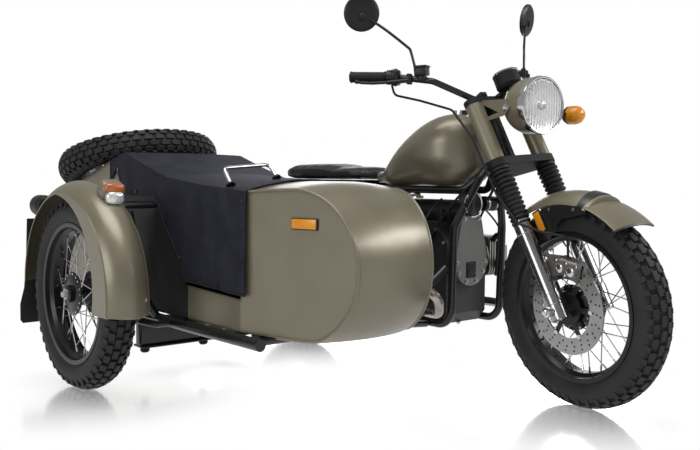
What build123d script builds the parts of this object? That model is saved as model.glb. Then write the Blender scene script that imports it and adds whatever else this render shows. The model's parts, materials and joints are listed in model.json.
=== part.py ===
from build123d import *
import os
from math import cos, radians, sin

# Motorcycle with a sidecar on its right. X points ahead, Y to the rider's left, Z up, in millimetres.
# The origin lies on the ground below the middle of the whole rig.

# Stance of the three wheels
wheelbase = 1452.0
rear_axle_x = -564.0
bike_y = 385.0
sidecar_lead = 225.0
sidecar_track = 1129.0
tyre_r = 328.0
tyre_w = 108.0
bead_r = 229.0
rim_w = 90.0
seat_gap = 0.3

# Places on the bike are written for this height of the axles and this wheelbase, and follow both
axle_z = 328.0
drawn_wheelbase = 1452.0
head_shift = wheelbase - drawn_wheelbase
grown = tyre_r - axle_z

# Steering geometry and the angle at which the bars stand
rake = 28.4
fork_offset = 51.0
steer_rest = -8.9

# Telescopic fork, measured along the legs from the axle
leg_y = 105.0
slider_r = 27.0
slider_top = 300.0
stanchion_r = 17.5
gaiter_top = 503.0
gaiter_r = 36.0
lower_yoke = 505.0
lower_yoke_h = 26.0
upper_yoke = 745.0
upper_yoke_h = 18.0
cover_r = 30.0
stem_r = 14.0
axle_r = 10.0
hub_half = 57.0
hub_bore = axle_r + seat_gap

# Headlamp
lamp_x = 1312.0
lamp_z = 971.0
lamp_r = 93.0
lamp_depth = 140.0
lens_t = 14.0

# Handlebar
bar_r = 11.0
clamp_x = -12.0
clamp_h = 34.0

# Bike body
frame_r = 14.0
rail_y = 130.0
rail_z = 215.0
engine_half = 105.0
crank_x = 800.0
crank_z = 430.0
seat_top = 787.0
fender_t = 2.5

# Sidecar body
body_y = -635.0
body_half = 250.0
floor_z = 250.0
nose_x = 1022.0
rim_top = 682.0
cowl_crown = 35.0
skin = 3.0
cowl_x = 830.0
spare_tilt = 15.6
spare_at = (-330.0, -635.0, 788.0)
hinge_at = (-30.0, 806.0)
hinge_r = 5.0

# Reference frames: the bike's own, and the same turned with the steering
bike = Plane(origin=(rear_axle_x, bike_y, grown))


def side(frame, y=0.0):
    """Upright plane along the frame, drawn in (ahead, up); its normal points right."""
    return Plane(origin=frame.from_local_coords((0, y, 0)), x_dir=frame.x_dir, z_dir=-frame.y_dir)


def across(frame, x=0.0):
    """Upright plane across the frame, drawn in (left, up); its normal points ahead."""
    return Plane(origin=frame.from_local_coords((x, 0, 0)), x_dir=frame.y_dir, z_dir=frame.x_dir)


def level(frame, z=0.0):
    """Level plane of the frame, drawn in (ahead, left); its normal points up."""
    return Plane(origin=frame.from_local_coords((0, 0, z)), x_dir=frame.x_dir, z_dir=frame.z_dir)


head_x = wheelbase - fork_offset * cos(radians(rake))
head_z = axle_z - fork_offset * sin(radians(rake))
head = Plane(bike.location * Location((head_x, 0, head_z), (0, -rake, 0)))
steer_turn = head.location * Location((0, 0, 0), (0, 0, steer_rest)) * head.location.inverse()
front = Plane(steer_turn * bike.location * Location((head_shift, 0, 0)))
fork = Plane(front.location * Location((drawn_wheelbase, 0, axle_z), (0, -rake, 0)))

front_hub = Plane(front.location * Location((drawn_wheelbase, 0, axle_z)))
rear_hub = Plane(bike.location * Location((0, 0, axle_z)))
sidecar_hub = Plane(bike.location * Location((sidecar_lead, -sidecar_track, axle_z)))
lid = Plane(bike.location * Location(spare_at, (0, -spare_tilt, 0)))
spare_hub = Plane(lid.location * Location((0, 0, 0), (90, 0, 0)))


def tube(frame, points, radius, bend):
    """Round bar along straight runs joined by bends, added to the piece being made."""
    with BuildLine(frame) as route:
        places = [tuple(point) for point in points]
        if len(places) > 2:
            FilletPolyline(*places, radius=bend)
        else:
            Line(*places)
    path = route.wires()[0]
    with BuildSketch(Plane(origin=path @ 0, z_dir=path % 0)) as ring:
        Circle(radius)
    sweep(sections=ring.sketch, path=path)


def bar(frame, start, end, radius):
    """Straight round bar between two points, added to the piece being made."""
    tube(frame, [start, end], radius, 0)


def flipped(points):
    """The same route on the other side of the bike."""
    return [(x, -y, z) for x, y, z in points]


# Tyres: one outline, turned about each hub
tread_half = 45.0
bead_half = 38.0
shoulder_r = tyre_r - 17


def make_tyre(hub):
    with BuildPart() as tyre:
        with BuildSketch(hub):
            half = [(bead_r + seat_gap, bead_half), (bead_r + 14, bead_half), (bead_r + 32, tyre_w / 2 - 3),
                    (bead_r + 60, tyre_w / 2), (shoulder_r, tread_half), (tyre_r, 16)]
            Polygon(*half, *[(r, -y) for r, y in reversed(half)], align=None)
        revolve(axis=Axis(hub.origin, hub.y_dir))
    return tyre


# Wire wheel: rolled rim, spool hub and crossed spokes, made once and set at each hub
rim_wall = 4.0
well_r = 213.0
spoke_count = 36
spoke_w = 3.6
flange_r = 68.0
flange_y = 34.0
hub_r = 44.0
spoke_lean = 42.0
spoke_planes = []
spoke_length = 0.0
for k in range(spoke_count):
    turn = radians(360 / spoke_count * k)
    hand = 1 if k % 2 else -1
    lean = radians(spoke_lean) * (1 if k % 4 < 2 else -1)
    foot = Vector(flange_r * cos(turn + lean), hand * flange_y, flange_r * sin(turn + lean))
    nipple = Vector(well_r * cos(turn), hand * 5.0, well_r * sin(turn))
    spoke_length = (nipple - foot).length + 1.5
    spoke_planes.append(Plane(origin=foot, z_dir=nipple - foot))

with BuildPart() as wire_wheel:
    with BuildSketch(Plane.XY):
        with BuildLine():
            Polyline((bead_r, -bead_half - 2), (bead_r, -24), (well_r + rim_wall, -14),
                     (well_r + rim_wall, 14), (bead_r, 24), (bead_r, bead_half + 2),
                     (bead_r + 12, bead_half + 2), (bead_r + 12, rim_w / 2), (bead_r - 4, rim_w / 2),
                     (bead_r - 4, 26), (well_r, 16), (well_r, -16), (bead_r - 4, -26),
                     (bead_r - 4, -rim_w / 2), (bead_r + 12, -rim_w / 2),
                     (bead_r + 12, -bead_half - 2), close=True)
        make_face()
    revolve(axis=Axis.Y)
    with BuildSketch(Plane.XY):
        with BuildLine():
            Polyline((hub_bore, -hub_half), (30, -hub_half), (30, -flange_y - 8), (flange_r + 6, -flange_y - 4),
                     (flange_r + 6, -flange_y + 4), (hub_r, -20), (hub_r, 20), (flange_r + 6, flange_y - 4),
                     (flange_r + 6, flange_y + 4), (30, flange_y + 8), (30, hub_half), (hub_bore, hub_half),
                     close=True)
        make_face()
    revolve(axis=Axis.Y)
    with BuildSketch(*spoke_planes):
        Rectangle(spoke_w, spoke_w)
    extrude(amount=spoke_length)

tyres = {}
wheels = {}
for place, hub in {"front": front_hub, "rear": rear_hub, "sidecar": sidecar_hub, "spare": spare_hub}.items():
    tyres[place] = make_tyre(hub)
    with BuildPart() as wheel:
        add(wire_wheel.part.moved(hub.location))
    wheels[place] = wheel

# Brake disc on the right of the front hub, with its carrier arms
disc_r = 147.0
disc_in = 94.0
disc_t = 5.0
with BuildPart() as brake_disc:
    with BuildSketch(side(front_hub, -hub_half)):
        Circle(disc_r)
        Circle(disc_in, mode=Mode.SUBTRACT)
        Circle(52)
        with PolarLocations(74, 6):
            Rectangle(50, 16)
        Circle(hub_bore + 4, mode=Mode.SUBTRACT)
    extrude(amount=disc_t)

# Fork legs: sliders with the wheel's axle through them, and the inner tubes
with BuildPart(fork) as fork_legs:
    with Locations((0, leg_y, -30), (0, -leg_y, -30)):
        Cylinder(slider_r, slider_top + 30, align=(Align.CENTER, Align.CENTER, Align.MIN))
    with Locations((0, leg_y, slider_top - 10), (0, -leg_y, slider_top - 10)):
        Cylinder(stanchion_r, upper_yoke - slider_top + 30, align=(Align.CENTER, Align.CENTER, Align.MIN))
    with BuildSketch(side(fork, 0)):
        Circle(axle_r)
    extrude(amount=leg_y + 30, both=True)
    for hand in (1, -1):
        with BuildSketch(side(fork, hand * (hub_half + disc_t + 1))):
            Circle(17)
        extrude(amount=-hand * (leg_y - hub_half - disc_t - 1))

# Rubber gaiters over the inner tubes, as bellows
fold_count = 6
fold_h = (gaiter_top - slider_top - seat_gap) / fold_count
with BuildPart() as fork_gaiters:
    for hand in (1, -1):
        leg = Plane(fork.location * Location((0, hand * leg_y, slider_top + seat_gap)))
        with BuildSketch(side(leg)):
            with BuildLine():
                folds = [(stanchion_r + seat_gap, 0), (gaiter_r - 4, 0)]
                for k in range(fold_count):
                    folds += [(gaiter_r, fold_h * (k + 0.5)), (gaiter_r - 4, fold_h * (k + 1))]
                folds.append((stanchion_r + seat_gap, fold_h * fold_count))
                Polyline(*folds, close=True)
            make_face()
        revolve(axis=Axis(leg.origin, leg.z_dir))

# Yokes: two clamped plates on the stem, and the round speed dial held over the upper one
dial_r = 44.0
tube_bore = stanchion_r + seat_gap
with BuildPart() as fork_yokes:
    for height, thick, reach in ((lower_yoke, lower_yoke_h, 36.0), (upper_yoke, upper_yoke_h, 32.0)):
        with BuildSketch(level(fork, height)):
            with Locations((0, leg_y), (0, -leg_y)):
                Circle(reach)
            with Locations((-fork_offset, 0)):
                Circle(reach + 2)
            make_hull()
            with Locations((0, leg_y), (0, -leg_y)):
                Circle(tube_bore, mode=Mode.SUBTRACT)
        extrude(amount=thick)
    with BuildSketch(level(fork, lower_yoke + lower_yoke_h)):
        with Locations((-fork_offset, 0)):
            Circle(stem_r)
    extrude(amount=upper_yoke - lower_yoke - lower_yoke_h)
    bar(front, (1105, 0, 1000), (1156, 0, 1049), 9)
    with BuildSketch(Plane(front.location * Location((1160, 0, 1045), (0, -25, 0)))):
        Circle(dial_r)
    extrude(amount=44)

# Painted upper fork covers, with the ears that carry the headlamp
ear_t = 3.0
cover_low = lower_yoke + lower_yoke_h + seat_gap
cover_high = upper_yoke - seat_gap
with BuildPart() as fork_covers:
    with BuildSketch(level(fork, cover_low)):
        with Locations((0, leg_y), (0, -leg_y)):
            Circle(cover_r)
    extrude(amount=cover_high - cover_low)
    for hand in (1, -1):
        with BuildSketch(side(front, hand * (lamp_r + seat_gap))):
            Polygon((1095, 925), (1120, 925), (1236, 945), (1262, 971), (1236, 997), (1115, 1000),
                    (1080, 985), align=None)
            Polygon((1132, 939), (1206, 956), (1134, 984), align=None, mode=Mode.SUBTRACT)
        extrude(amount=-hand * ear_t)
    with BuildSketch(level(fork, cover_low)):
        with Locations((0, leg_y), (0, -leg_y)):
            Circle(stanchion_r + seat_gap)
    extrude(amount=cover_high - cover_low, mode=Mode.SUBTRACT)
    with BuildSketch(level(fork, cover_high)):
        Rectangle(500, 300)
    extrude(amount=80, mode=Mode.SUBTRACT)

# Headlamp bucket and its glass
with BuildPart() as headlamp_shell:
    with BuildSketch(side(front)):
        with BuildLine():
            Line((lamp_x - lamp_depth, lamp_z), (lamp_x - 6, lamp_z))
            Line((lamp_x - 6, lamp_z), (lamp_x - 6, lamp_z + lamp_r - 7))
            Line((lamp_x - 6, lamp_z + lamp_r - 7), (lamp_x, lamp_z + lamp_r - 7))
            Line((lamp_x, lamp_z + lamp_r - 7), (lamp_x, lamp_z + lamp_r))
            Line((lamp_x, lamp_z + lamp_r), (lamp_x - lamp_depth + lamp_r, lamp_z + lamp_r))
            ThreePointArc((lamp_x - lamp_depth + lamp_r, lamp_z + lamp_r),
                          (lamp_x - lamp_depth + lamp_r * (1 - sin(radians(45))), lamp_z + lamp_r * sin(radians(45))),
                          (lamp_x - lamp_depth, lamp_z))
        make_face()
    revolve(axis=Axis(front.from_local_coords((0, 0, lamp_z)), front.x_dir))

with BuildPart() as headlamp_lens:
    with BuildSketch(side(front)):
        with BuildLine():
            lens_r = lamp_r - 7 - seat_gap
            lens_x = lamp_x - 6 + seat_gap
            dome_r = (lens_r ** 2 + (lens_t - 6) ** 2) / (2 * (lens_t - 6))
            Line((lens_x, lamp_z), (lens_x, lamp_z + lens_r))
            Line((lens_x, lamp_z + lens_r), (lens_x + 6, lamp_z + lens_r))
            RadiusArc((lens_x + 6, lamp_z + lens_r), (lens_x + lens_t, lamp_z), dome_r)
            Line((lens_x + lens_t, lamp_z), (lens_x, lamp_z))
        make_face()
    revolve(axis=Axis(front.from_local_coords((0, 0, lamp_z)), front.x_dir))

# Front fender: a crowned blade between the legs, wider and flatter ahead of its strap
crown_r = tyre_r + 43
blade_parts = (
    # start angle, end angle, crown radius, half width, radius at the edges, wall
    (73.0, 124.0, crown_r, 70.0, tyre_r + 2, fender_t),
    (50.5, 73.0, tyre_r + 27, 86.0, tyre_r + 11, fender_t),
    (71.8, 74.0, crown_r + 1.5, 86.0, tyre_r + 3, 20.0),
)


def turned(hub, angle):
    """Section plane of a wheel, swung up by an angle from straight ahead."""
    return Plane(hub.location * Location((0, 0, 0), (0, -angle, 0)))


def blade(hub, start, end, crown, half, edge, wall):
    """Arched strip round a wheel, added to the piece being made."""
    plane = turned(hub, start)
    with BuildSketch(plane) as section:
        with BuildLine():
            ThreePointArc((edge, -half), (crown, 0), (edge, half))
            Line((edge, half), (edge, half - wall))
            ThreePointArc((edge, half - wall), (crown - wall, 0), (edge, wall - half))
            Line((edge, wall - half), (edge, -half))
        make_face()
    revolve(section.sketch, axis=Axis(hub.origin, -hub.y_dir), revolution_arc=end - start)


with BuildPart() as front_fender:
    for start, end, crown, half, edge, wall in blade_parts:
        blade(front_hub, start, end, crown, half, edge, wall)

# Black strap over the fender, and the brackets that bolt it to the sliders
with BuildPart() as fender_stays:
    blade(front_hub, 74.3, 79.5, crown_r + seat_gap + 5, 70 + seat_gap + 5, tyre_r + 2, 5.0)
    for hand in (1, -1):
        with BuildSketch(side(front, hand * 70.6)):
            Polygon((1308, 556), (1312, 583), (1342, 600), (1365, 640 + grown), (1440, 655 + grown),
                    (1532, 655 + grown), (1548, 634 + grown), (1450, 612 + grown), (1395, 545), (1335, 535),
                    align=None)
        extrude(amount=-hand * 4)
        with BuildSketch(side(fork, hand * 74.6)):
            with Locations((0, slider_top - 30)):
                Circle(12)
        extrude(amount=-hand * 3.1)

# Handlebar with its two clamps on the upper yoke
bar_route = [(1070, 0, 1006), (1070, -78, 1006), (1018, -215, 1074), (930, -285, 1094), (800, -408, 1107)]
with BuildPart() as handlebar:
    full_route = flipped(bar_route)[:0:-1] + bar_route[1:]
    tube(front, full_route, bar_r, 38)
    for hand in (1, -1):
        clamp = Plane(fork.location * Location((clamp_x, hand * 45, upper_yoke + upper_yoke_h)))
        with BuildSketch(clamp):
            Rectangle(34, 26)
        extrude(amount=clamp_h)

# Grips, levers and switches
grip_r = 17.0
with BuildPart() as hand_controls:
    for hand in (1, -1):
        inner, outer = [Vector(x, y * hand, z) for x, y, z in bar_route[-2:]]
        way = (outer - inner).normalized()
        grip_way = front.from_local_coords(outer) - front.from_local_coords(inner)
        grip = Plane(origin=front.from_local_coords(inner + way * 50), z_dir=grip_way)
        with BuildSketch(grip):
            Circle(grip_r)
            Circle(bar_r + seat_gap, mode=Mode.SUBTRACT)
        extrude(amount=126)
        with BuildSketch(grip.offset(-3)):
            Circle(25)
            Circle(bar_r + seat_gap, mode=Mode.SUBTRACT)
        extrude(amount=-30)

# Round mirrors on their stalks
with BuildPart() as mirrors:
    for hand in (1, -1):
        route = [(975, -249 * hand, 1096.4), (965, -264 * hand, 1188), (905, -330 * hand, 1265), (868, -368 * hand, 1300)]
        tube(front, route, 5, 30)
        face = Plane(front.location * Location((857, -385 * hand, 1318), (0, -80, 8 * hand)))
        with BuildSketch(face):
            Circle(62)
        extrude(amount=-14)

# Amber lamp left of the headlamp, and amber reflectors on the fender brackets
pod_y = 206.0
pod_z = 936.0
with BuildPart() as front_amber_lamps:
    with BuildSketch(side(front, pod_y)):
        with BuildLine():
            Line((1212, pod_z), (1292, pod_z))
            ThreePointArc((1292, pod_z), (1284, pod_z + 22), (1262, pod_z + 32))
            Line((1262, pod_z + 32), (1240, pod_z + 32))
            ThreePointArc((1240, pod_z + 32), (1218, pod_z + 20), (1212, pod_z))
        make_face()
    revolve(axis=Axis(front.from_local_coords((0, pod_y, pod_z)), front.x_dir))
    bar(front, (1240, lamp_r + seat_gap * 2 + ear_t + 0.6, 950), (1244, pod_y - 10, 940), 6)
    for hand in (1, -1):
        with BuildSketch(side(fork, hand * 74.9)):
            with Locations((50, 282)):
                Rectangle(34, 76)
        extrude(amount=-hand * 8)

# Front caliper over the top of the disc, carried from the right slider
caliper_angle = 79.0
with BuildPart() as brake_caliper:
    with BuildSketch(turned(front_hub, caliper_angle)):
        with Locations((135, -66)):
            RectangleRounded(58, 54, 14)
        with Locations((125, -hub_half - disc_t / 2)):
            Rectangle(54, disc_t + 6, mode=Mode.SUBTRACT)
    extrude(amount=40, both=True)
    with BuildSketch(side(front, -80)):
        Polygon((1398, 436), (1448, 436), (1456, 500), (1378, 500), align=None)
    extrude(amount=10)
    with BuildSketch(level(fork, 0)):
        with Locations((0, -leg_y)):
            Circle(slider_r + seat_gap)
    extrude(amount=slider_top, mode=Mode.SUBTRACT)

# Brake hose from the master cylinder down the right leg to the caliper
hose_r = 4.0
with BuildPart() as brake_hose:
    tube(front, [(907, -307, 1070.8), (910, -300, 1036), (965, -232, 1012), (1040, -156, 975), (1130, -148, 880),
                 (1240, -148, 690), (1330, -146, 600), (1420, -125, 575), (1490, -90, 560), (1484.2, -84, 493.5)],
         hose_r, 22)

# Main frame: two cradle loops, seat rails, the steering head, and the horn on the right loop
horn_r = 44.0
head_low = 536.0
head_high = 740.0
seat_rail_z = 707.0
pivot_x = 400.0
pivot_z = 345.0
shock_y = 152.0
stand_x = 470.0
stand_z = 188.0
stand_half = 104.0
with BuildPart() as main_frame:
    for hand in (1, -1):
        loop = [(1128 + head_shift, 12, 838), (1062 + head_shift, 50, 735), (1015 + head_shift, rail_y, 560),
                (1008 + head_shift, rail_y, rail_z), (430, rail_y, rail_z),
                (395, rail_y, 360), (352, 112, seat_rail_z - 4)]
        rail = [(1136 + head_shift, 14, 808), (1050 + head_shift, 32, 742), (1000 + head_shift, 64, 688),
                (560, 104, 688), (500, 108, seat_rail_z), (-80, 108, seat_rail_z)]
        if hand < 0:
            loop = flipped(loop)
            rail = flipped(rail)
        tube(bike, loop, frame_r, 60)
        tube(bike, rail, frame_r, 60)
    for x, z, half in ((pivot_x, pivot_z, rail_y), (600.0, rail_z, rail_y), (-78.0, seat_rail_z, 108.0)):
        bar(bike, (x, -half, z), (x, half, z), 11)
    for x, z in ((700.0, rail_z), (900.0, rail_z)):
        for hand in (1, -1):
            bar(bike, (x, hand * rail_y, z + 8), (x, hand * (engine_half + seat_gap), z + 8), 9)
    for hand in (1, -1):
        bar(bike, (84, hand * 108, seat_rail_z - 6), (84, hand * (shock_y - 14 - seat_gap), seat_rail_z - 6), 9)
        with BuildSketch(side(bike, hand * stand_half)):
            Polygon((stand_x - 16, stand_z - 13), (stand_x + 16, stand_z - 13), (stand_x + 22, rail_z + 4),
                    (stand_x - 22, rail_z + 4), align=None)
        extrude(amount=hand * (stand_half - rail_y + frame_r - 4))
    with BuildSketch(Plane(head.location * Location((0, 0, head_low)))):
        Circle(29)
    extrude(amount=head_high - head_low)
    with BuildSketch(across(bike, 1010 + head_shift)):
        with Locations((-62, 640)):
            Circle(horn_r)
    extrude(amount=34)
    with BuildSketch(Plane(head.location * Location((0, 0, head_low)))):
        Circle(stem_r + 1)
    extrude(amount=head_high - head_low, mode=Mode.SUBTRACT)

# Engine: the crankcase as one block, the pear-shaped cover on its front, the generator on top
generator_r = 46.0
with BuildPart() as engine_block:
    with BuildSketch(side(bike)):
        Polygon((650, 240), (690, 205), (925, 205), (960, 245), (960, 500), (900, 575), (740, 575),
                (650, 520), align=None)
    extrude(amount=engine_half, both=True)
    fillet(engine_block.edges().filter_by(GeomType.LINE).filter_by(Axis.X, reverse=True).group_by(SortBy.LENGTH)[-1], 12)
    with BuildSketch(across(bike, 960)):
        with Locations((0, 560)):
            Circle(56)
        with Locations((0, 430)):
            Circle(86)
        make_hull()
    extrude(amount=24)
    with BuildSketch(across(bike, 700)):
        with Locations((0, 606)):
            Circle(generator_r)
    extrude(amount=215)
    with BuildSketch(across(bike, 915)):
        with Locations((0, 606)):
            Circle(generator_r - 10)
    extrude(amount=30)

# Gearbox behind the engine, bare shaft and the bevel box on the right of the rear wheel
with BuildPart() as driveline:
    with BuildSketch(across(bike, 445)):
        with Locations((0, 375)):
            RectangleRounded(190, 220, 50)
    extrude(amount=204.7)
    bar(bike, (446, -92, 300), (90, -92, 318), 11)
    with BuildSketch(side(rear_hub, -62)):
        Circle(96)
    extrude(amount=52)
    with BuildSketch(side(rear_hub, -100)):
        Circle(60)
    extrude(amount=shock_y - 14 - seat_gap - 100)
    with BuildSketch(side(rear_hub, -70)):
        Circle(axle_r)
    extrude(amount=-200)
    for k in (1, -1):
        with BuildSketch(side(rear_hub, 57.5 * k)):
            Circle(17)
        extrude(amount=-k * 22 if k > 0 else 6)

# Finned cylinders, heads and rocker covers, one set each side
fin_count = 9
fin_pitch = 13.0
with BuildPart() as cylinders:
    for hand in (1, -1):
        base = engine_half + seat_gap
        with BuildSketch(side(bike, hand * base)):
            with Locations((crank_x, crank_z)):
                Circle(52)
        extrude(amount=-hand * 125)
        for k in range(fin_count):
            with BuildSketch(side(bike, hand * (base + 8 + fin_pitch * k))):
                with Locations((crank_x, crank_z)):
                    RegularPolygon(78, 14)
            extrude(amount=-hand * 5)
        with BuildSketch(side(bike, hand * (base + 125))):
            with Locations((crank_x, crank_z)):
                Rectangle(104, 120)
        extrude(amount=-hand * 84)
        for k in range(6):
            with BuildSketch(side(bike, hand * (base + 125 + 14 * k))):
                with Locations((crank_x, crank_z)):
                    RectangleRounded(150, 156, 30)
            extrude(amount=-hand * 7)
        with BuildSketch(side(bike, hand * (base + 209))):
            with Locations((crank_x, crank_z)):
                RectangleRounded(128, 132, 40)
        extrude(amount=-hand * 34)

# Carburettors, their hoses and the air filter box over the gearbox
with BuildPart() as intake:
    with BuildSketch(level(bike, 530)):
        with Locations((525, 0)):
            RectangleRounded(140, 150, 20)
    extrude(amount=100)
    for hand in (1, -1):
        duct = [(724.7, 268, 472), (678, 268, 472), (628, 232, 504), (575, 60, 588)]
        if hand < 0:
            duct = flipped(duct)
        tube(bike, duct, 21, 30)
        with BuildSketch(level(bike, 428)):
            with Locations((674, hand * 262)):
                Circle(27)
        extrude(amount=86)

# Exhausts: header from each head, down and back to its silencer
pipe_z = 262.0
with BuildPart() as exhausts:
    for hand in (1, -1):
        header = [(875.3, 285, 400), (962, 285, 400), (1048, 236, 322), (1010, 192, pipe_z), (330, 192, pipe_z)]
        if hand < 0:
            header = flipped(header)
        tube(bike, header, 17, 34)
        bar(bike, (876, hand * 285, 400), (893, hand * 285, 400), 26)
        bar(bike, (340, hand * 192, pipe_z), (-330, hand * 192, pipe_z), 41)

# Teardrop fuel tank, lofted through upright sections
tank_low = 699.9
tank_sections = (
    # place along the bike, half width, height, corner, lift of its foot
    (526.0, 44.0, 44.0, 18.0, 10.0),
    (622.0, 92.0, 88.0, 40.0, 2.0),
    (720.0, 130.0, 176.0, 82.0, 0.0),
    (830.0, 150.0, 240.0, 110.0, 0.0),
    (930.0, 146.0, 260.0, 110.0, 0.0),
    (1004.0, 98.0, 208.0, 80.0, 30.0),
    (1034.0, 56.0, 134.0, 48.0, 66.0),
)
with BuildPart() as fuel_tank:
    for place_x, half, high, corner, raised in tank_sections:
        lift = tank_low + high / 2 + raised
        with BuildSketch(Plane(across(bike, place_x).location * Location((0, lift, 0)))):
            RectangleRounded(2 * half, high, corner)
    loft()

with BuildPart() as fuel_cap:
    with BuildSketch(level(bike, tank_low + 260 - 4)):
        with Locations((925, 0)):
            Circle(33)
    extrude(amount=18)
    add(fuel_tank.part, mode=Mode.SUBTRACT)

# Bench seat: front half dipped, rear half level
with BuildPart() as bike_seat:
    with BuildSketch(side(bike)):
        Polygon((10, 740), (30, seat_top), (300, seat_top), (340, 774), (500, 772), (512, 748), (490, 721.5),
                (30, 721.5), align=None)
    extrude(amount=128, both=True)
    fillet(bike_seat.edges().filter_by(Axis.Y).group_by(Axis.Z)[-1], 12)

# Rear fender and its lamp
rear_crown = tyre_r + 47.4
with BuildPart() as rear_fender:
    blade(rear_hub, 35, 188, rear_crown, 80, tyre_r + 6, fender_t)

with BuildPart() as rear_lamp:
    with BuildSketch(across(bike, -402)):
        with Locations((0, 500)):
            Circle(38)
    extrude(amount=90)
    with BuildSketch(side(rear_hub)):
        Circle(rear_crown + seat_gap)
    extrude(amount=60, both=True, mode=Mode.SUBTRACT)

# Swing arm and the two spring units
with BuildPart() as swing_arm:
    bar(bike, (pivot_x - 12, 98, pivot_z), (-24, 98, axle_z), 14)
    bar(bike, (pivot_x - 12, -98, pivot_z + 8), (99, -98, pivot_z + 10), 12)
    bar(bike, (pivot_x - 30, -98, pivot_z + 4), (pivot_x - 30, 98, pivot_z + 4), 12)
    bar(bike, (21, 98, 346), (21, shock_y - 14 - seat_gap, 346), 10)
    with BuildSketch(side(bike, 60)):
        with Locations((0, axle_z)):
            Circle(axle_r + seat_gap)
    extrude(amount=-80, mode=Mode.SUBTRACT)

with BuildPart() as rear_shocks:
    for hand in (1, -1):
        low = Vector(20, hand * shock_y, 340)
        high = Vector(84, hand * shock_y, seat_rail_z)
        bar(bike, low, high, 14)
        for k in range(9):
            share = 0.22 + 0.075 * k
            bar(bike, low + (high - low) * share, low + (high - low) * (share + 0.03), 27)

# Side covers below the seat
with BuildPart() as side_covers:
    for hand in (1, -1):
        with BuildSketch(side(bike, hand * 88)):
            Polygon((425, 530), (536, 530), (546, 640), (530, 673.5), (425, 673.5), align=None)
        extrude(amount=-hand * 50)
        bar(bike, (430, hand * 115, 640), (375.6, hand * 115, 640), 5)

# Foot pegs, brake pedal, shift lever
with BuildPart() as foot_controls:
    for hand in (1, -1):
        bar(bike, (560, hand * (rail_y + frame_r + seat_gap), rail_z), (560, hand * 172, rail_z), 10)
        bar(bike, (560, hand * 165, rail_z), (560, hand * 262, rail_z + 6), 15)
        lever = [(600, 150, rail_z + 30), (680, 156, rail_z + 42), (742, 160, rail_z + 90), (750, 205, rail_z + 92)]
        if hand < 0:
            lever = flipped(lever)
        tube(bike, lever, 7, 20)
        bar(bike, (606, hand * (rail_y + 3), rail_z + 22), (606, hand * 158, rail_z + 30), 9)

# Centre stand, folded up under the frame
stand_reach = 172.0
with BuildPart() as centre_stand:
    bar(bike, (stand_x, seat_gap - stand_half, stand_z), (stand_x, stand_half - seat_gap, stand_z), 12)
    for hand in (1, -1):
        foot_x = stand_x - stand_reach
        leg = [(stand_x, 88, stand_z), (foot_x + 50, 96, stand_z - 8), (foot_x, 116, stand_z - 20)]
        if hand < 0:
            leg = flipped(leg)
        tube(bike, leg, 11, 25)
        bar(bike, (foot_x + 14, hand * 108, stand_z - 14), (foot_x, hand * 132, stand_z - 22), 12.5)
    bar(bike, (stand_x - 90, -92, stand_z - 4), (stand_x - 90, 92, stand_z - 4), 9)

# Sidecar frame: two rails, cross tubes and the struts to the bike
side_rail_z = 230.7
side_rail_r = 19.0
rail_end = -160.0
spigot = 30.0
near_rail = -900.0
far_rail = -362.0
with BuildPart() as sidecar_frame:
    for y in (near_rail, far_rail):
        bar(bike, (rail_end, y, side_rail_z), (960, y, side_rail_z), side_rail_r)
        bar(bike, (rail_end - spigot, y, side_rail_z), (rail_end, y, side_rail_z), side_rail_r - 4)
    for x in (-100.0, 480.0, 900.0):
        bar(bike, (x, near_rail, side_rail_z + 1.7), (x, far_rail, side_rail_z + 1.7), side_rail_r - 2)
    reach = rail_y + frame_r + seat_gap
    bar(bike, (900, far_rail, side_rail_z), (900, -reach, rail_z), 17)
    bar(bike, (480, far_rail, side_rail_z + 6), (480, -reach - 2, rail_z + 4), 15)
    bar(bike, (945, far_rail, side_rail_z), (1004 + head_shift, -reach - 10, 420), 14)
    bar(bike, (250, far_rail, side_rail_z), (356, -reach, 640), 14)
    tube(bike, [(60, near_rail, side_rail_z), (60, -945, 300), (180, -945, 600)], 14, 30)
    tube(bike, [(330, near_rail, side_rail_z), (330, -945, 300), (205, -945, 600)], 14, 30)
    bar(bike, (194, -945, 582), (194, -971.6, 582), 9)

# Sidecar wheel's trailing arm with its axle, and the spring unit
with BuildPart() as sidecar_suspension:
    tube(bike, [(440, -958, 233), (400, -1000, 245), (225, -1042, axle_z)], 16, 25)
    bar(bike, (440, near_rail - side_rail_r - seat_gap, 233), (440, -968, 233), 14)
    bar(bike, (225, -1030, axle_z), (225, -1196, axle_z), axle_r)
    bar(bike, (225, -1040, axle_z), (225, -1070, axle_z), 17)
    low = Vector(256, -1020, 318)
    high = Vector(194, -985, 596)
    bar(bike, low, high, 13)
    for k in range(8):
        share = 0.2 + 0.08 * k
        bar(bike, low + (high - low) * share, low + (high - low) * (share + 0.032), 26)

# Sidecar body: hollow sheet-metal tub with a rounded nose, cockpit, entrance and trunk
middle = side(bike, body_y)
nose_z = (rim_top + floor_z) / 2
taper = 0.2428
lid_top = -62.0
lid_t = 16.0


def under_lid(reach):
    """Point of the tub's profile just below the lid, at a distance ahead of the spare wheel's middle."""
    spot = bike.to_local_coords(lid.from_local_coords(Vector(reach, 0, lid_top - lid_t - seat_gap)))
    return spot.X, spot.Z


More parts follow.
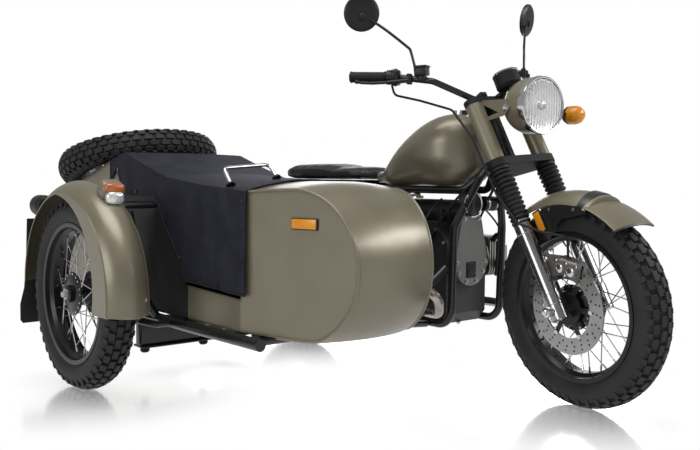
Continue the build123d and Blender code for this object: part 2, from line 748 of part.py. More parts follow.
def tub(shrink, half):
    """Closed form of the tub drawn smaller by a wall: flat-sided trunk and cockpit, crowned nose."""
    with BuildSketch(middle) as profile:
        Polygon((cowl_x + 60, floor_z), (-470, floor_z), (-560, 400), under_lid(-245), under_lid(267),
                (20, rim_top), (cowl_x + 60, rim_top), align=None)
        if shrink:
            offset(amount=-shrink, kind=Kind.INTERSECTION)
    low = floor_z + shrink
    high = rim_top - shrink
    near = (body_y - half, high)
    far = (body_y + half, high)
    with BuildPart(mode=Mode.PRIVATE) as form:
        extrude(to_extrude=profile.sketch, amount=half, both=True)
        for foot, reach in ((nose_z, 0), (low, nose_x - cowl_x)):
            with BuildSketch(across(bike, nose_x)) as section:
                with BuildLine():
                    ThreePointArc(near, (body_y, high + cowl_crown), far)
                    Polyline(far, (far[0], foot), (near[0], foot), near)
                make_face()
            if reach:
                extrude(section.sketch, amount=-reach)
            else:
                axis = Axis(bike.from_local_coords((nose_x, 0, nose_z)), bike.y_dir)
                revolve(section.sketch, axis=axis, revolution_arc=180)
    with BuildSketch(level(bike, low)) as plan:
        tip = nose_x + nose_z
        narrow = half - taper * (tip - cowl_x)
        Polygon((-700, body_y - half), (cowl_x, body_y - half), (tip, body_y - narrow), (tip, body_y + narrow),
                (cowl_x, body_y + half), (-700, body_y + half), align=None)
    cut = extrude(to_extrude=plan.sketch, amount=1000, mode=Mode.PRIVATE)
    return form.part & cut


with BuildPart() as sidecar_body:
    add(tub(0, body_half))
    add(tub(skin, body_half - skin), mode=Mode.SUBTRACT)
    with BuildSketch(level(bike, rim_top - 40)):
        with Locations(((cowl_x + 110) / 2, body_y)):
            RectangleRounded(cowl_x - 110, 2 * body_half - 70, 40)
    extrude(amount=80, mode=Mode.SUBTRACT)
    with BuildSketch(side(bike, body_y - body_half + 20)):
        Polygon((cowl_x, rim_top + 5), (cowl_x, 352), (505, 365), (270, rim_top + 5), align=None)
    extrude(amount=60, mode=Mode.SUBTRACT)
    with BuildSketch(Plane(lid.location * Location((30, 0, lid_top - 60)))):
        Rectangle(400, 2 * body_half - 80)
    extrude(amount=60, mode=Mode.SUBTRACT)
    for y in (body_y - 150, body_y + 150):
        for step in (-20, 12):
            with BuildSketch(side(bike, y + step)):
                Polygon((-56, 772), (-37, 806), (-30, 813), (-22, 806), (-22, 740), align=None)
            extrude(amount=-8)
        bar(bike, (hinge_at[0], y - 16, hinge_at[1]), (hinge_at[0], y + 16, hinge_at[1]), hinge_r)

# Passenger's seat: cushion and leaning back
with BuildPart() as sidecar_seat:
    with BuildSketch(middle):
        Polygon((190.6, floor_z + skin + seat_gap), (600, floor_z + skin + seat_gap), (610, 380), (580, 400),
                (190.6, 385), align=None)
    extrude(amount=200, both=True)
    with BuildSketch(middle):
        Polygon((90, floor_z + skin + seat_gap), (190, floor_z + skin + seat_gap), (190, 420), (160, 660),
                (150, 780), (122, 790), (116, 660), align=None)
    extrude(amount=180, both=True)

# Cockpit cover of coated cloth: sloping crowned top over the cowl's edge, and a drape down each side
cloth = 4.0
cover_half = body_half + seat_gap + cloth
cover_line = (
    # place along the bike, height at the edge, crown
    (2.0, 806.0, 3.0),
    (60.0, 815.0, 4.0),
    (215.0, 768.0, 8.0),
    (370.0, 726.0, 14.0),
    (600.0, 702.0, 26.0),
    (cowl_x + 15, rim_top + seat_gap + cloth, cowl_crown),
)
with BuildPart() as tonneau_cover:
    for place_x, edge_z, rise in cover_line:
        with BuildSketch(across(bike, place_x)):
            with BuildLine():
                for drop, flip in ((0, 1), (cloth, -1)):
                    ThreePointArc((body_y - flip * cover_half, edge_z - drop), (body_y, edge_z + rise - drop),
                                  (body_y + flip * cover_half, edge_z - drop))
                for y in (body_y - cover_half, body_y + cover_half):
                    Line((y, edge_z), (y, edge_z - cloth))
            make_face()
    loft(ruled=True)
    top_line = [(place_x, edge_z) for place_x, edge_z, rise in cover_line]
    for hand, hem in ((-1, [(cowl_x + 15, 366), (520, 380), (285, 660), (25, 660)]),
                      (1, [(cowl_x + 15, 620), (25, 620)])):
        with BuildSketch(side(bike, body_y + hand * (body_half + seat_gap))):
            Polygon(*top_line, *hem, align=None)
        extrude(amount=-hand * cloth)

# Chrome hand hoop on the cover's near front corner
with BuildPart() as grab_rail:
    tube(bike, [(745, -866, 703.4), (702, -866, 756), (702, -690, 770), (745, -690, 726.8)], 6, 18)

# Sidecar fender with its side skirt, and the stays to the tub
fender_crown = tyre_r + 56
fender_half = 72.0
skirt_r = tyre_r + 18
stay_z = axle_z + tyre_r - 31
with BuildPart() as sidecar_fender:
    blade(sidecar_hub, -6, 178, fender_crown, fender_half, tyre_r + 14, fender_t)
    with BuildSketch(side(sidecar_hub, -fender_half + 3)):
        Circle(skirt_r)
        with Locations((-67, 27)):
            Circle(skirt_r - 38, mode=Mode.SUBTRACT)
        with Locations((0, -240)):
            Rectangle(800, 400, mode=Mode.SUBTRACT)
    extrude(amount=3)
    with BuildSketch(side(sidecar_hub, fender_half)):
        Circle(skirt_r)
        Circle(skirt_r - 46, mode=Mode.SUBTRACT)
        with Locations((0, -240)):
            Rectangle(800, 400, mode=Mode.SUBTRACT)
    extrude(amount=3)
    for x in (110.0, 290.0):
        bar(bike, (x, body_y - body_half - seat_gap, stay_z), (x, -sidecar_track + fender_half - 2, stay_z), 10)

with BuildPart() as mud_flap:
    with BuildSketch(across(bike, sidecar_lead - fender_crown - seat_gap - 4)):
        with Locations((-sidecar_track, 372)):
            Rectangle(150, 390)
    extrude(amount=4)

# Sidecar lamps and its side reflector
with BuildPart() as sidecar_lamps:
    with BuildSketch(level(bike, 610 + grown)):
        with Locations((425, -1115)):
            RectangleRounded(76, 70, 26)
    extrude(amount=95)
    with BuildSketch(across(bike, sidecar_lead - fender_crown + 47)):
        with Locations((-1150, 618 + grown)):
            Circle(38)
    extrude(amount=100)
    with BuildSketch(side(sidecar_hub)):
        Circle(fender_crown + seat_gap)
    extrude(amount=120, both=True, mode=Mode.SUBTRACT)
    panel = Plane(origin=bike.from_local_coords((1075, body_y - body_half + taper * (1075 - cowl_x), 594)),
                  x_dir=(1, taper, 0), z_dir=(taper, -1, 0))
    with BuildSketch(panel.offset(seat_gap)):
        Rectangle(96, 34)
    extrude(amount=9)

# Trunk lid with the boss and bolt that hold the spare wheel
bolt_r = 8.0
with BuildPart() as trunk_lid:
    with BuildSketch(Plane(lid.location * Location((30, 0, lid_top - lid_t)))):
        Rectangle(470, 2 * body_half - 30)
    extrude(amount=lid_t)
    with BuildSketch(Plane(lid.location * Location((0, 0, lid_top)))):
        Circle(60)
    extrude(amount=-lid_top - hub_half - seat_gap)
    with BuildSketch(Plane(lid.location * Location((0, 0, lid_top)))):
        Circle(axle_r)
    extrude(amount=-lid_top + hub_half + 2)
    with BuildSketch(Plane(lid.location * Location((0, 0, hub_half + 2)))):
        Circle(bolt_r)
    extrude(amount=18)
    for y in (body_y - 150, body_y + 150):
        with BuildSketch(side(bike, y + 11)):
            Polygon((-112, 770), (-66, 783), (-38, 799), (-38, 813), (-62, 797), (-112, 783), align=None)
            with Locations(hinge_at):
                Circle(11)
                Circle(hinge_r + seat_gap, mode=Mode.SUBTRACT)
        extrude(amount=22)

for name, piece in (
    ("main_frame", main_frame), ("engine_block", engine_block), ("driveline", driveline), ("cylinders", cylinders),
    ("intake", intake), ("exhausts", exhausts), ("fuel_tank", fuel_tank), ("fuel_cap", fuel_cap),
    ("bike_seat", bike_seat), ("rear_fender", rear_fender), ("rear_lamp", rear_lamp), ("swing_arm", swing_arm),
    ("rear_shocks", rear_shocks), ("side_covers", side_covers), ("foot_controls", foot_controls),
    ("centre_stand", centre_stand), ("sidecar_frame", sidecar_frame), ("sidecar_suspension", sidecar_suspension),
    ("sidecar_body", sidecar_body), ("sidecar_seat", sidecar_seat), ("tonneau_cover", tonneau_cover),
    ("grab_rail", grab_rail), ("sidecar_fender", sidecar_fender), ("mud_flap", mud_flap),
    ("sidecar_lamps", sidecar_lamps), ("trunk_lid", trunk_lid), ("fork_legs", fork_legs),
    ("fork_gaiters", fork_gaiters), ("fork_yokes", fork_yokes), ("fork_covers", fork_covers),
    ("headlamp_shell", headlamp_shell), ("headlamp_lens", headlamp_lens), ("front_fender", front_fender),
    ("fender_stays", fender_stays), ("handlebar", handlebar), ("hand_controls", hand_controls),
    ("mirrors", mirrors), ("front_amber_lamps", front_amber_lamps), ("brake_disc", brake_disc),
    ("brake_caliper", brake_caliper), ("brake_hose", brake_hose),
    ("front_tyre", tyres["front"]), ("rear_tyre", tyres["rear"]), ("sidecar_tyre", tyres["sidecar"]),
    ("spare_tyre", tyres["spare"]), ("front_wheel", wheels["front"]), ("rear_wheel", wheels["rear"]),
    ("sidecar_wheel", wheels["sidecar"]), ("spare_wheel", wheels["spare"]),
):
    piece.part.label = name
    os.makedirs("parts", exist_ok=True)
    export_step(piece.part, f"parts/{name}.step")
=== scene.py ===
import json
from math import atan2, cos, radians, sin, sqrt, tau

import bmesh
import bpy
from mathutils import Matrix, Vector, noise


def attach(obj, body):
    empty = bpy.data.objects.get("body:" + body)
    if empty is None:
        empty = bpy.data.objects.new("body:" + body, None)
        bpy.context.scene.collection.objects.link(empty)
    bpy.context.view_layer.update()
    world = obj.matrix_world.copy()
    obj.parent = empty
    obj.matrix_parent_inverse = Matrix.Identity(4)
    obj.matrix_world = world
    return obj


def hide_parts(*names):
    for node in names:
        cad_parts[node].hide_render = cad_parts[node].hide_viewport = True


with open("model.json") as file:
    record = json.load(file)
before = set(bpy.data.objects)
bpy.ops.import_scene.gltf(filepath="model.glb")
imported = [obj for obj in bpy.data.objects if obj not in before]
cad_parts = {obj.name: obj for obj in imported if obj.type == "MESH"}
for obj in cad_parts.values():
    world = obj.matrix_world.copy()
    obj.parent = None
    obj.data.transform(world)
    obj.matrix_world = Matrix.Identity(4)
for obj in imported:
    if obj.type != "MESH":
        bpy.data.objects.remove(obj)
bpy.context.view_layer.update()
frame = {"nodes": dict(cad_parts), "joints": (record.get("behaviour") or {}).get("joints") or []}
nodes = frame["nodes"]
joints = {joint["name"]: joint for joint in frame["joints"]}
scene = bpy.context.scene


# The studio: a level white floor under an even white sky, four large soft lamps and the view.
# The lens looks from low on the sidecar's front corner, about three metres away.
eye = Vector((2.469, -1.950, 0.729))
aim = Vector((0.2132, -0.015, 0.5648))
roll = radians(0.50)
lens_mm = 44.1

camera_data = bpy.data.cameras.new("view")
camera_data.lens = lens_mm
camera_data.sensor_width = 36.0
camera = bpy.data.objects.new("view", camera_data)
scene.collection.objects.link(camera)
look = (aim - eye).to_track_quat("-Z", "Y").to_matrix().to_4x4()
camera.matrix_world = Matrix.Translation(eye) @ look @ Matrix.Rotation(roll, 4, "Z")
scene.camera = camera
scene.view_settings.view_transform = "Standard"

floor_tone = (0.86, 0.86, 0.86, 1)
mirror_spots = [joints[f"{which}_wheel_spin"]["pos_m"][:2] for which in ("front", "rear", "sidecar")]


def feed(tree, node, inputs):
    """Sets inputs of a shader node, each to a value or to the output that feeds it."""
    for name, value in inputs.items():
        if isinstance(value, bpy.types.NodeSocket):
            tree.links.new(value, node.inputs[name])
        else:
            node.inputs[name].default_value = value


def add(tree, kind, inputs=None, **settings):
    """New shader node with its settings and inputs."""
    node = tree.nodes.new(f"ShaderNode{kind}")
    for name, value in settings.items():
        setattr(node, name, value)
    feed(tree, node, inputs or {})
    return node


def new_material(name):
    """Empty finish, its node tree and its shader."""
    material = bpy.data.materials.new(name)
    material.use_nodes = True
    return material, material.node_tree, material.node_tree.nodes["Principled BSDF"]


def studio_floor():
    """Level floor: plain white to the eye, darkened close to the parts by a painted contact shadow, with the
    tyres mirrored close to where they stand.
    """
    material, tree, plain = new_material("studio_floor")
    feed(tree, plain, {"Base Color": floor_tone, "Roughness": 0.6})
    place = add(tree, "TexCoord").outputs["Object"]
    nearest = None
    for x, y in mirror_spots:
        gap = add(tree, "VectorMath", {0: place, 1: (x, y, 0)}, operation="DISTANCE").outputs["Value"]
        if nearest is None:
            nearest = gap
        else:
            nearest = add(tree, "Math", {0: nearest, 1: gap}, operation="MINIMUM").outputs[0]
    fade = add(tree, "MapRange", {"Value": nearest, "From Min": 0.10, "From Max": 0.62, "To Min": 0.60,
                                  "To Max": 0.0},
               interpolation_type="SMOOTHSTEP")
    mirror = add(tree, "BsdfGlossy", {"Roughness": 0.16, "Color": (2.9, 2.9, 2.9, 1)})
    # Ambient occlusion dims the floor's glowing colour near the parts: a painted contact shadow.
    contact_shade = add(tree, "AmbientOcclusion", {"Distance": 0.16}, samples=12)
    painted_contact_shadow = add(tree, "MapRange", {"Value": contact_shade.outputs["AO"], "From Min": 0.25, "To Min": 0.55})
    paper = add(tree, "Emission", {"Color": painted_contact_shadow.outputs["Result"]})
    seen = add(tree, "MixShader", {"Fac": fade.outputs["Result"], 1: paper.outputs[0], 2: mirror.outputs[0]})
    ray = add(tree, "LightPath")
    glow = add(tree, "Emission", {"Strength": 0.80})
    mirrored = add(tree, "Math", {0: ray.outputs["Is Glossy Ray"], 1: ray.outputs["Is Transmission Ray"]},
                   operation="MAXIMUM")
    unseen = add(tree, "MixShader", {"Fac": mirrored.outputs[0], 1: plain.outputs[0], 2: glow.outputs[0]})
    choose = add(tree, "MixShader", {"Fac": ray.outputs["Is Camera Ray"], 1: unseen.outputs[0],
                                     2: seen.outputs[0]})
    feed(tree, tree.nodes["Material Output"], {"Surface": choose.outputs[0]})
    bm = bmesh.new()
    bmesh.ops.create_grid(bm, x_segments=1, y_segments=1, size=30)
    mesh = bpy.data.meshes.new("studio_floor")
    bm.to_mesh(mesh)
    bm.free()
    mesh.materials.append(material)
    ground = bpy.data.objects.new("studio_floor", mesh)
    scene.collection.objects.link(ground)
    ground.location.z = -0.001


def soft_lamp(name, place, size, watts, aimed=(0, 0, 0.5)):
    """Oval area lamp aimed at the rig."""
    data = bpy.data.lights.new(name, "AREA")
    data.shape = "ELLIPSE"
    data.size, data.size_y = size
    data.energy = watts
    lamp = bpy.data.objects.new(name, data)
    scene.collection.objects.link(lamp)
    lamp.location = place
    lamp.rotation_euler = (Vector(aimed) - Vector(place)).to_track_quat("-Z", "Y").to_euler()


studio_floor()
soft_lamp("over_head", (0.5, -0.8, 3.6), (3.4, 2.2), 80)
soft_lamp("from_sidecar_side", (0.6, -4.6, 1.7), (2.8, 1.8), 46)
soft_lamp("from_front_left", (2.9, 2.4, 2.3), (3.2, 0.9), 66, (0.5, -0.3, 0.5))
soft_lamp("from_behind", (-3.2, 3.6, 1.7), (4.2, 1.6), 48)

world = bpy.data.worlds.new("studio")
scene.world = world
world.use_nodes = True
world_tree = world.node_tree
sky = world_tree.nodes["Background"]
feed(world_tree, sky, {"Color": (1, 1, 1, 1), "Strength": 0.34})
white = add(world_tree, "Background", {"Color": (1, 1, 1, 1)})
ray = add(world_tree, "LightPath")
either = add(world_tree, "Math", {0: ray.outputs["Is Camera Ray"], 1: ray.outputs["Is Transmission Ray"]},
             operation="MAXIMUM")
choose = add(world_tree, "MixShader", {"Fac": either.outputs[0], 1: sky.outputs[0], 2: white.outputs[0]})
feed(world_tree, world_tree.nodes["World Output"], {"Surface": choose.outputs[0]})


# Frame tubes of the bike and of the sidecar, swing arm, trailing arm and stand.
# Round steel tube, welded and painted gloss black; the paint has a fine orange peel and dulls in patches.
def surface(name, colour, rough, metal=0.0, patch=0.06, patch_size=9.0, grain=0.02, grain_size=900.0,
            tint=0.06, coat=0.0, stretch=(1, 1, 1), soften=0.0, sheen=0.5):
    """Finish whose colour, gloss and fine relief vary with place on the piece."""
    material, tree, shader = new_material(name)
    turn = add(tree, "Mapping", {"Scale": stretch, "Vector": add(tree, "TexCoord").outputs["Object"]})
    broad = add(tree, "TexNoise", {"Scale": patch_size, "Detail": 5.0, "Vector": turn.outputs["Vector"]})
    gloss = add(tree, "MapRange",
                {"Value": broad.outputs["Fac"], "To Min": max(0.02, rough - patch), "To Max": rough + patch})
    shade = add(tree, "ValToRGB", {"Fac": broad.outputs["Fac"]})
    for stop, position, share in zip(shade.color_ramp.elements, (0.35, 0.65), (1 - tint, 1 + tint)):
        stop.position = position
        stop.color = (*[min(1, channel * share) for channel in colour], 1)
    fine = add(tree, "TexNoise", {"Scale": grain_size, "Detail": 2.0, "Vector": turn.outputs["Vector"]})
    relief = add(tree, "Bump", {"Strength": grain, "Distance": 0.002, "Height": fine.outputs["Fac"]})
    if soften:
        edge = add(tree, "Bevel", {"Radius": soften}, samples=6)
        feed(tree, relief, {"Normal": edge.outputs["Normal"]})
    feed(tree, shader, {"Metallic": metal, "Coat Weight": coat, "Coat Roughness": 0.24,
                        "Specular IOR Level": sheen, "Roughness": gloss.outputs["Result"],
                        "Base Color": shade.outputs["Color"], "Normal": relief.outputs["Normal"]})
    return material


def dress(material, *names):
    """Gives a finish to modelled parts that keep their own shape."""
    for name in names:
        mesh = nodes[name].data
        mesh.materials.clear()
        mesh.materials.append(material)


black_paint = surface("black_paint", (0.009, 0.009, 0.010), 0.26, coat=0.2, grain=0.03, sheen=0.4)
dress(black_paint, "main_frame", "swing_arm", "sidecar_frame", "sidecar_suspension", "centre_stand",
      "foot_controls", "handlebar")
yoke_black = surface("yoke_black", (0.010, 0.010, 0.011), 0.55, grain=0.2, grain_size=400, tint=0.25,
                     soften=0.002, sheen=0.2)
dress(yoke_black, "fork_yokes")
black_edged = surface("black_edged", (0.012, 0.012, 0.013), 0.25, coat=0.4, grain=0.03, soften=0.002)
dress(black_edged, "fender_stays")


# Olive sheet metal: fenders, tank, sidecar tub, lid, lamp shell and upper fork covers.
# Pressed steel under a satin clear coat; the pigment carries a faint metallic grain.
# The tub's seams are rounded.
olive = (0.196, 0.172, 0.118)
olive_paint = surface("olive_paint", olive, 0.34, metal=0.35, patch=0.04, grain=0.012, tint=0.05, coat=0.35,
                      soften=0.0015)
dress(olive_paint, "fuel_tank", "rear_fender", "front_fender", "trunk_lid", "headlamp_shell", "fork_covers",
      "side_covers")
tub_paint = surface("tub_paint", olive, 0.34, metal=0.35, patch=0.04, grain=0.012, tint=0.05, coat=0.35,
                    soften=0.014)


# Castings: crankcase, gearbox and bevel box are sand-cast and painted black.
# Cylinders and fork sliders stay bare alloy; the sliders are polished.
engine_black = surface("engine_black", (0.020, 0.020, 0.021), 0.42, grain=0.35, grain_size=420, tint=0.3,
                       soften=0.003, sheen=0.4)
dress(engine_black, "driveline")
cast_alloy = surface("cast_alloy", (0.34, 0.34, 0.33), 0.38, metal=0.9, grain=0.12, grain_size=500, tint=0.15)
dress(cast_alloy, "cylinders")
slider_alloy = surface("slider_alloy", (0.36, 0.36, 0.37), 0.20, metal=1.0, grain=0.02, stretch=(1, 1, 0.2))
dress(slider_alloy, "fork_legs")


# Bright work: the hoop and the filler cap are polished steel.
# The exhausts are plated steel, browned by heat.
bright_metal = surface("bright_metal", (0.66, 0.66, 0.66), 0.12, metal=1.0, grain=0.01)
dress(bright_metal, "grab_rail", "fuel_cap")
pipe_metal = surface("pipe_metal", (0.40, 0.375, 0.34), 0.26, metal=1.0, grain=0.02, tint=0.25, patch_size=14)
dress(pipe_metal, "exhausts")


# Rubber and black plastic: the flap, the brake hose and the intake ducts are rubber.
# Mirror shells and the hand controls are moulded plastic.
black_rubber = surface("black_rubber", (0.010, 0.010, 0.011), 0.55, grain=0.15, grain_size=700, sheen=0.3)
dress(black_rubber, "mud_flap", "brake_hose", "intake")
black_plastic = surface("black_plastic", (0.008, 0.008, 0.009), 0.38, grain=0.08, grain_size=500,
                        soften=0.0015, sheen=0.35)
dress(black_plastic, "mirrors", "hand_controls")


# Wheels: black rolled rims, black hubs, laced with crossed bright spokes, on block-tread tyres.
# The four wheels are alike; the spare lies on the trunk lid.
def finished(name, bm, material, body, slot, *replaced, sharp=35.0):
    """Turns a worked mesh into a piece that rides on its body."""
    bmesh.ops.recalc_face_normals(bm, faces=bm.faces)
    mesh = bpy.data.meshes.new(name)
    bm.to_mesh(mesh)
    bm.free()
    mesh.materials.append(material)
    mesh.shade_smooth()
    mesh.set_sharp_from_angle(angle=radians(sharp))
    piece = bpy.data.objects.new(name, mesh)
    scene.collection.objects.link(piece)
    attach(piece, body)
    if replaced:
        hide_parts(*replaced)
    return piece


def spun_ring(bm, outline, steps):
    """Closed outline, given as (radius, across), turned once round the axle."""
    loop = [bm.verts.new((radius, across, 0)) for radius, across in outline]
    edges = [bm.edges.new(pair) for pair in zip(loop, loop[1:] + loop[:1])]
    bmesh.ops.spin(bm, geom=loop + edges, cent=(0, 0, 0), axis=(0, 1, 0), angle=tau, steps=steps,
                   use_merge=True)
    bmesh.ops.recalc_face_normals(bm, faces=bm.faces)


def rounded(bm, edges, by, segments):
    """Rounds sharp edges off."""
    bmesh.ops.bevel(bm, geom=edges, offset=by, offset_type="OFFSET", affect="EDGES", segments=segments,
                    profile=0.5, material=-1)


tyre_radius = joints["rear_wheel_spin"]["pos_m"][2]
crown_curve = 0.068
tread_depth = 0.0085
tread_pitches = 46
block_height = tread_depth + 0.004
lug_size = (0.024, 0.007, 0.017)
lug_lean = -16
lug_radius, lug_across = 0.3005, 0.0468
tread_rows = (
    # angle from the crown's middle, half width across, half length round, stagger in pitches
    (-31.0, 0.0105, 0.0155, 0.5),
    (-10.5, 0.0100, 0.0170, 0.0),
    (10.5, 0.0100, 0.0170, 0.5),
    (31.0, 0.0105, 0.0155, 0.0),
)


def tyre_mesh():
    """Carcass with its side rings, and the tread blocks set over its crown."""
    bm = bmesh.new()
    crown = [(tyre_radius - crown_curve + (crown_curve - tread_depth) * cos(radians(turn)),
              (crown_curve - tread_depth) * sin(radians(turn))) for turn in range(-42, 43, 6)]
    side = [(0.298, 0.0475), (0.290, 0.0515), (0.280, 0.0535), (0.268, 0.0535), (0.256, 0.0505),
            (0.246, 0.0450), (0.2405, 0.0405), (0.2296, 0.0380)]
    outline = crown + side + [(radius, -across) for radius, across in reversed(side)]
    spun_ring(bm, outline, 96)
    start = set(bm.verts)
    step = tau / tread_pitches
    for turn, half_w, half_l, stagger in tread_rows:
        made = bmesh.ops.create_cube(bm, size=1)["verts"]
        bmesh.ops.scale(bm, vec=(block_height, 2 * half_w, 2 * half_l), verts=made)
        outer = [v for v in made if v.co.x > 0]
        bmesh.ops.scale(bm, vec=(1, 0.90, 0.92), verts=outer)
        bmesh.ops.translate(bm, vec=(crown_curve - block_height / 2, 0, 0), verts=made)
        bmesh.ops.rotate(bm, cent=(0, 0, 0), matrix=Matrix.Rotation(radians(turn), 3, "Z"), verts=made)
        bmesh.ops.translate(bm, vec=(tyre_radius - crown_curve, 0, 0), verts=made)
        bmesh.ops.rotate(bm, cent=(0, 0, 0), matrix=Matrix.Rotation(stagger * step, 3, "Y"), verts=made)
    for hand in (-1, 1):
        made = bmesh.ops.create_cube(bm, size=1)["verts"]
        bmesh.ops.scale(bm, vec=lug_size, verts=made)
        bmesh.ops.rotate(bm, cent=(0, 0, 0), matrix=Matrix.Rotation(radians(lug_lean * hand), 3, "Z"),
                         verts=made)
        bmesh.ops.translate(bm, vec=(lug_radius, lug_across * hand, 0), verts=made)
        stagger = 0.5 if hand > 0 else 0
        bmesh.ops.rotate(bm, cent=(0, 0, 0), matrix=Matrix.Rotation(step * stagger, 3, "Y"), verts=made)
    blocks = [v for v in bm.verts if v not in start]
    edges = list({edge for v in blocks for edge in v.link_edges})
    rounded(bm, edges, 0.0012, 1)
    blocks = [v for v in bm.verts if v not in start]
    faces = list({face for v in blocks for face in v.link_faces})
    edges = list({edge for v in blocks for edge in v.link_edges})
    bmesh.ops.spin(bm, geom=blocks + edges + faces, cent=(0, 0, 0), axis=(0, 1, 0),
                   angle=tau * (1 - 1 / tread_pitches), steps=tread_pitches - 1, use_duplicate=True)
    return bm


rim_outline = ((0.2405, 0.0445), (0.2410, 0.0400), (0.2290, 0.0385), (0.2275, 0.0250), (0.2170, 0.0145),
               (0.2170, -0.0145), (0.2275, -0.0250), (0.2290, -0.0385), (0.2410, -0.0400), (0.2405, -0.0445),
               (0.2360, -0.0450), (0.2255, -0.0430), (0.2235, -0.0275), (0.2130, -0.0165), (0.2130, 0.0165),
               (0.2235, 0.0275), (0.2255, 0.0430), (0.2360, 0.0450))
hub_outline = ((0.0105, -0.0565), (0.0260, -0.0565), (0.0300, -0.0540), (0.0300, -0.0420), (0.0700, -0.0385),
               (0.0735, -0.0360), (0.0735, -0.0320), (0.0690, -0.0290), (0.0480, -0.0220), (0.0430, -0.0150),
               (0.0430, 0.0150), (0.0480, 0.0220), (0.0690, 0.0290), (0.0735, 0.0320), (0.0735, 0.0360),
               (0.0700, 0.0385), (0.0300, 0.0420), (0.0300, 0.0540), (0.0260, 0.0565), (0.0105, 0.0565))
spoke_count = 36
spoke_radius, nipple_radius, elbow_radius = 0.0019, 0.0034, 0.0036
spoke_lean = 42.0
flange_radius, flange_across = 0.068, 0.034
bed_radius, bed_across = 0.2150, 0.005


def rod(bm, start, end, radius, sides=8, end_radius=None):
    """Straight round rod between two points."""
    start, end = Vector(start), Vector(end)
    way = end - start
    place = Matrix.Translation((start + end) / 2) @ way.to_track_quat("Z", "Y").to_matrix().to_4x4()
    return bmesh.ops.create_cone(bm, cap_ends=True, segments=sides, radius1=radius,
                                 radius2=radius if end_radius is None else end_radius, depth=way.length,
                                 matrix=place)


def rim_and_hub_mesh():
    """Rolled rim, and spool hub with its two flanges."""
    bm = bmesh.new()
    spun_ring(bm, rim_outline, 96)
    spun_ring(bm, hub_outline, 64)
    return bm


def spokes_mesh():
    """Crossed spokes, each with its nipple at the rim and its elbow through the flange."""
    bm = bmesh.new()
    for k in range(spoke_count):
        turn = tau / spoke_count * k
        hand = 1 if k % 2 else -1
        lean = radians(spoke_lean) * (1 if k % 4 < 2 else -1)
        foot = Vector((flange_radius * cos(turn + lean), hand * flange_across,
                       flange_radius * sin(turn + lean)))
        nipple = Vector((bed_radius * cos(turn), hand * bed_across, bed_radius * sin(turn)))
        rod(bm, foot, nipple, spoke_radius, 6)
        rod(bm, foot + (nipple - foot) * 0.88, nipple, nipple_radius, 6)
        rod(bm, foot - Vector((0, hand * 0.0045, 0)), foot + Vector((0, hand * 0.0055, 0)), elbow_radius, 8)
    return bm


def moved(x, y, z):
    """Shift in metres."""
    return Matrix.Translation((x, y, z))


def turned(angle, axis):
    """Turn by degrees about an axis."""
    return Matrix.Rotation(radians(angle), 4, axis)


def hub_place(which):
    """Middle of a wheel that turns on the rig."""
    return Matrix.Translation(Vector(joints[f"{which}_wheel_spin"]["pos_m"]))


steer_axis = Vector(joints["steering"]["axis"])
steer_rest = radians(-8.9)
steer_spin = Matrix.Rotation(steer_rest, 4, steer_axis)
lid_tilt = radians(15.6)
tub_middle = -635
rear_hub = Vector(joints["rear_wheel_spin"]["pos_m"])


def spot(ahead, left, up):
    """Point given in millimetres ahead, left and up from the ground below the rear axle."""
    return Vector((rear_hub.x + ahead / 1000, rear_hub.y + left / 1000, up / 1000))


lid_place = Matrix.Translation(spot(-330, tub_middle, 788)) @ Matrix.Rotation(-lid_tilt, 4, "Y")
wheels = {
    "front": (hub_place("front") @ steer_spin, "front_wheel"),
    "rear": (hub_place("rear"), "rear_wheel"),
    "sidecar": (hub_place("sidecar"), "sidecar_wheel"),
    "spare": (lid_place @ turned(90, "X"), "trunk_lid"),
}
tyre_rubber = surface("tyre_rubber", (0.018, 0.018, 0.020), 0.6, patch=0.1, grain=0.12, grain_size=600,
                      tint=0.25, sheen=0.35)
black_rim = surface("black_rim", (0.008, 0.008, 0.009), 0.3, coat=0.15, grain=0.02, sheen=0.3)
spoke_steel = surface("spoke_steel", (0.55, 0.55, 0.56), 0.25, metal=1.0, grain=0.02)
for which, (place, body) in wheels.items():
    for kind, bm, material, slot in (("tyre", tyre_mesh(), tyre_rubber, "tyre_rubber"),
                                     ("wheel", rim_and_hub_mesh(), black_rim, "black_paint"),
                                     ("spokes", spokes_mesh(), spoke_steel, "bare_steel")):
        bmesh.ops.transform(bm, matrix=place, verts=bm.verts)
        replaced = () if kind == "spokes" else (f"{which}_{kind}",)
        finished(f"{which}_{kind}_dressed", bm, material, body, slot, *replaced)


# Front brake disc: a drilled steel ring held on a black carrier with bobbins.
# The carrier is bolted to the front hub, and the axle's nut stands in its middle.
def lathe(bm, outline, steps, place):
    """Outline of (radius, height) turned round its own upright axis and set in place."""
    before = set(bm.verts)
    chain = [bm.verts.new((radius, 0, height)) for radius, height in outline]
    edges = [bm.edges.new(pair) for pair in zip(chain, chain[1:])]
    bmesh.ops.spin(bm, geom=chain + edges, cent=(0, 0, 0), axis=(0, 0, 1), angle=tau, steps=steps,
                   use_merge=True)
    bmesh.ops.remove_doubles(bm, verts=[v for v in bm.verts if v not in before], dist=0.00002)
    made = [v for v in bm.verts if v not in before]
    bmesh.ops.transform(bm, matrix=place, verts=made)
    return made


def block(bm, size, place, round_by=0.0, segments=2):
    """Box with softened edges, set in place."""
    before = set(bm.verts)
    made = bmesh.ops.create_cube(bm, size=1)["verts"]
    bmesh.ops.scale(bm, vec=size, verts=made)
    if round_by:
        edges = list({edge for v in made for edge in v.link_edges})
        rounded(bm, edges, round_by, segments)
    made = [v for v in bm.verts if v not in before]
    bmesh.ops.transform(bm, matrix=place, verts=made)
    return made


def facing(at, way):
    """Place whose upright axis points along a direction."""
    return Matrix.Translation(Vector(at)) @ Vector(way).to_track_quat("Z", "Y").to_matrix().to_4x4()


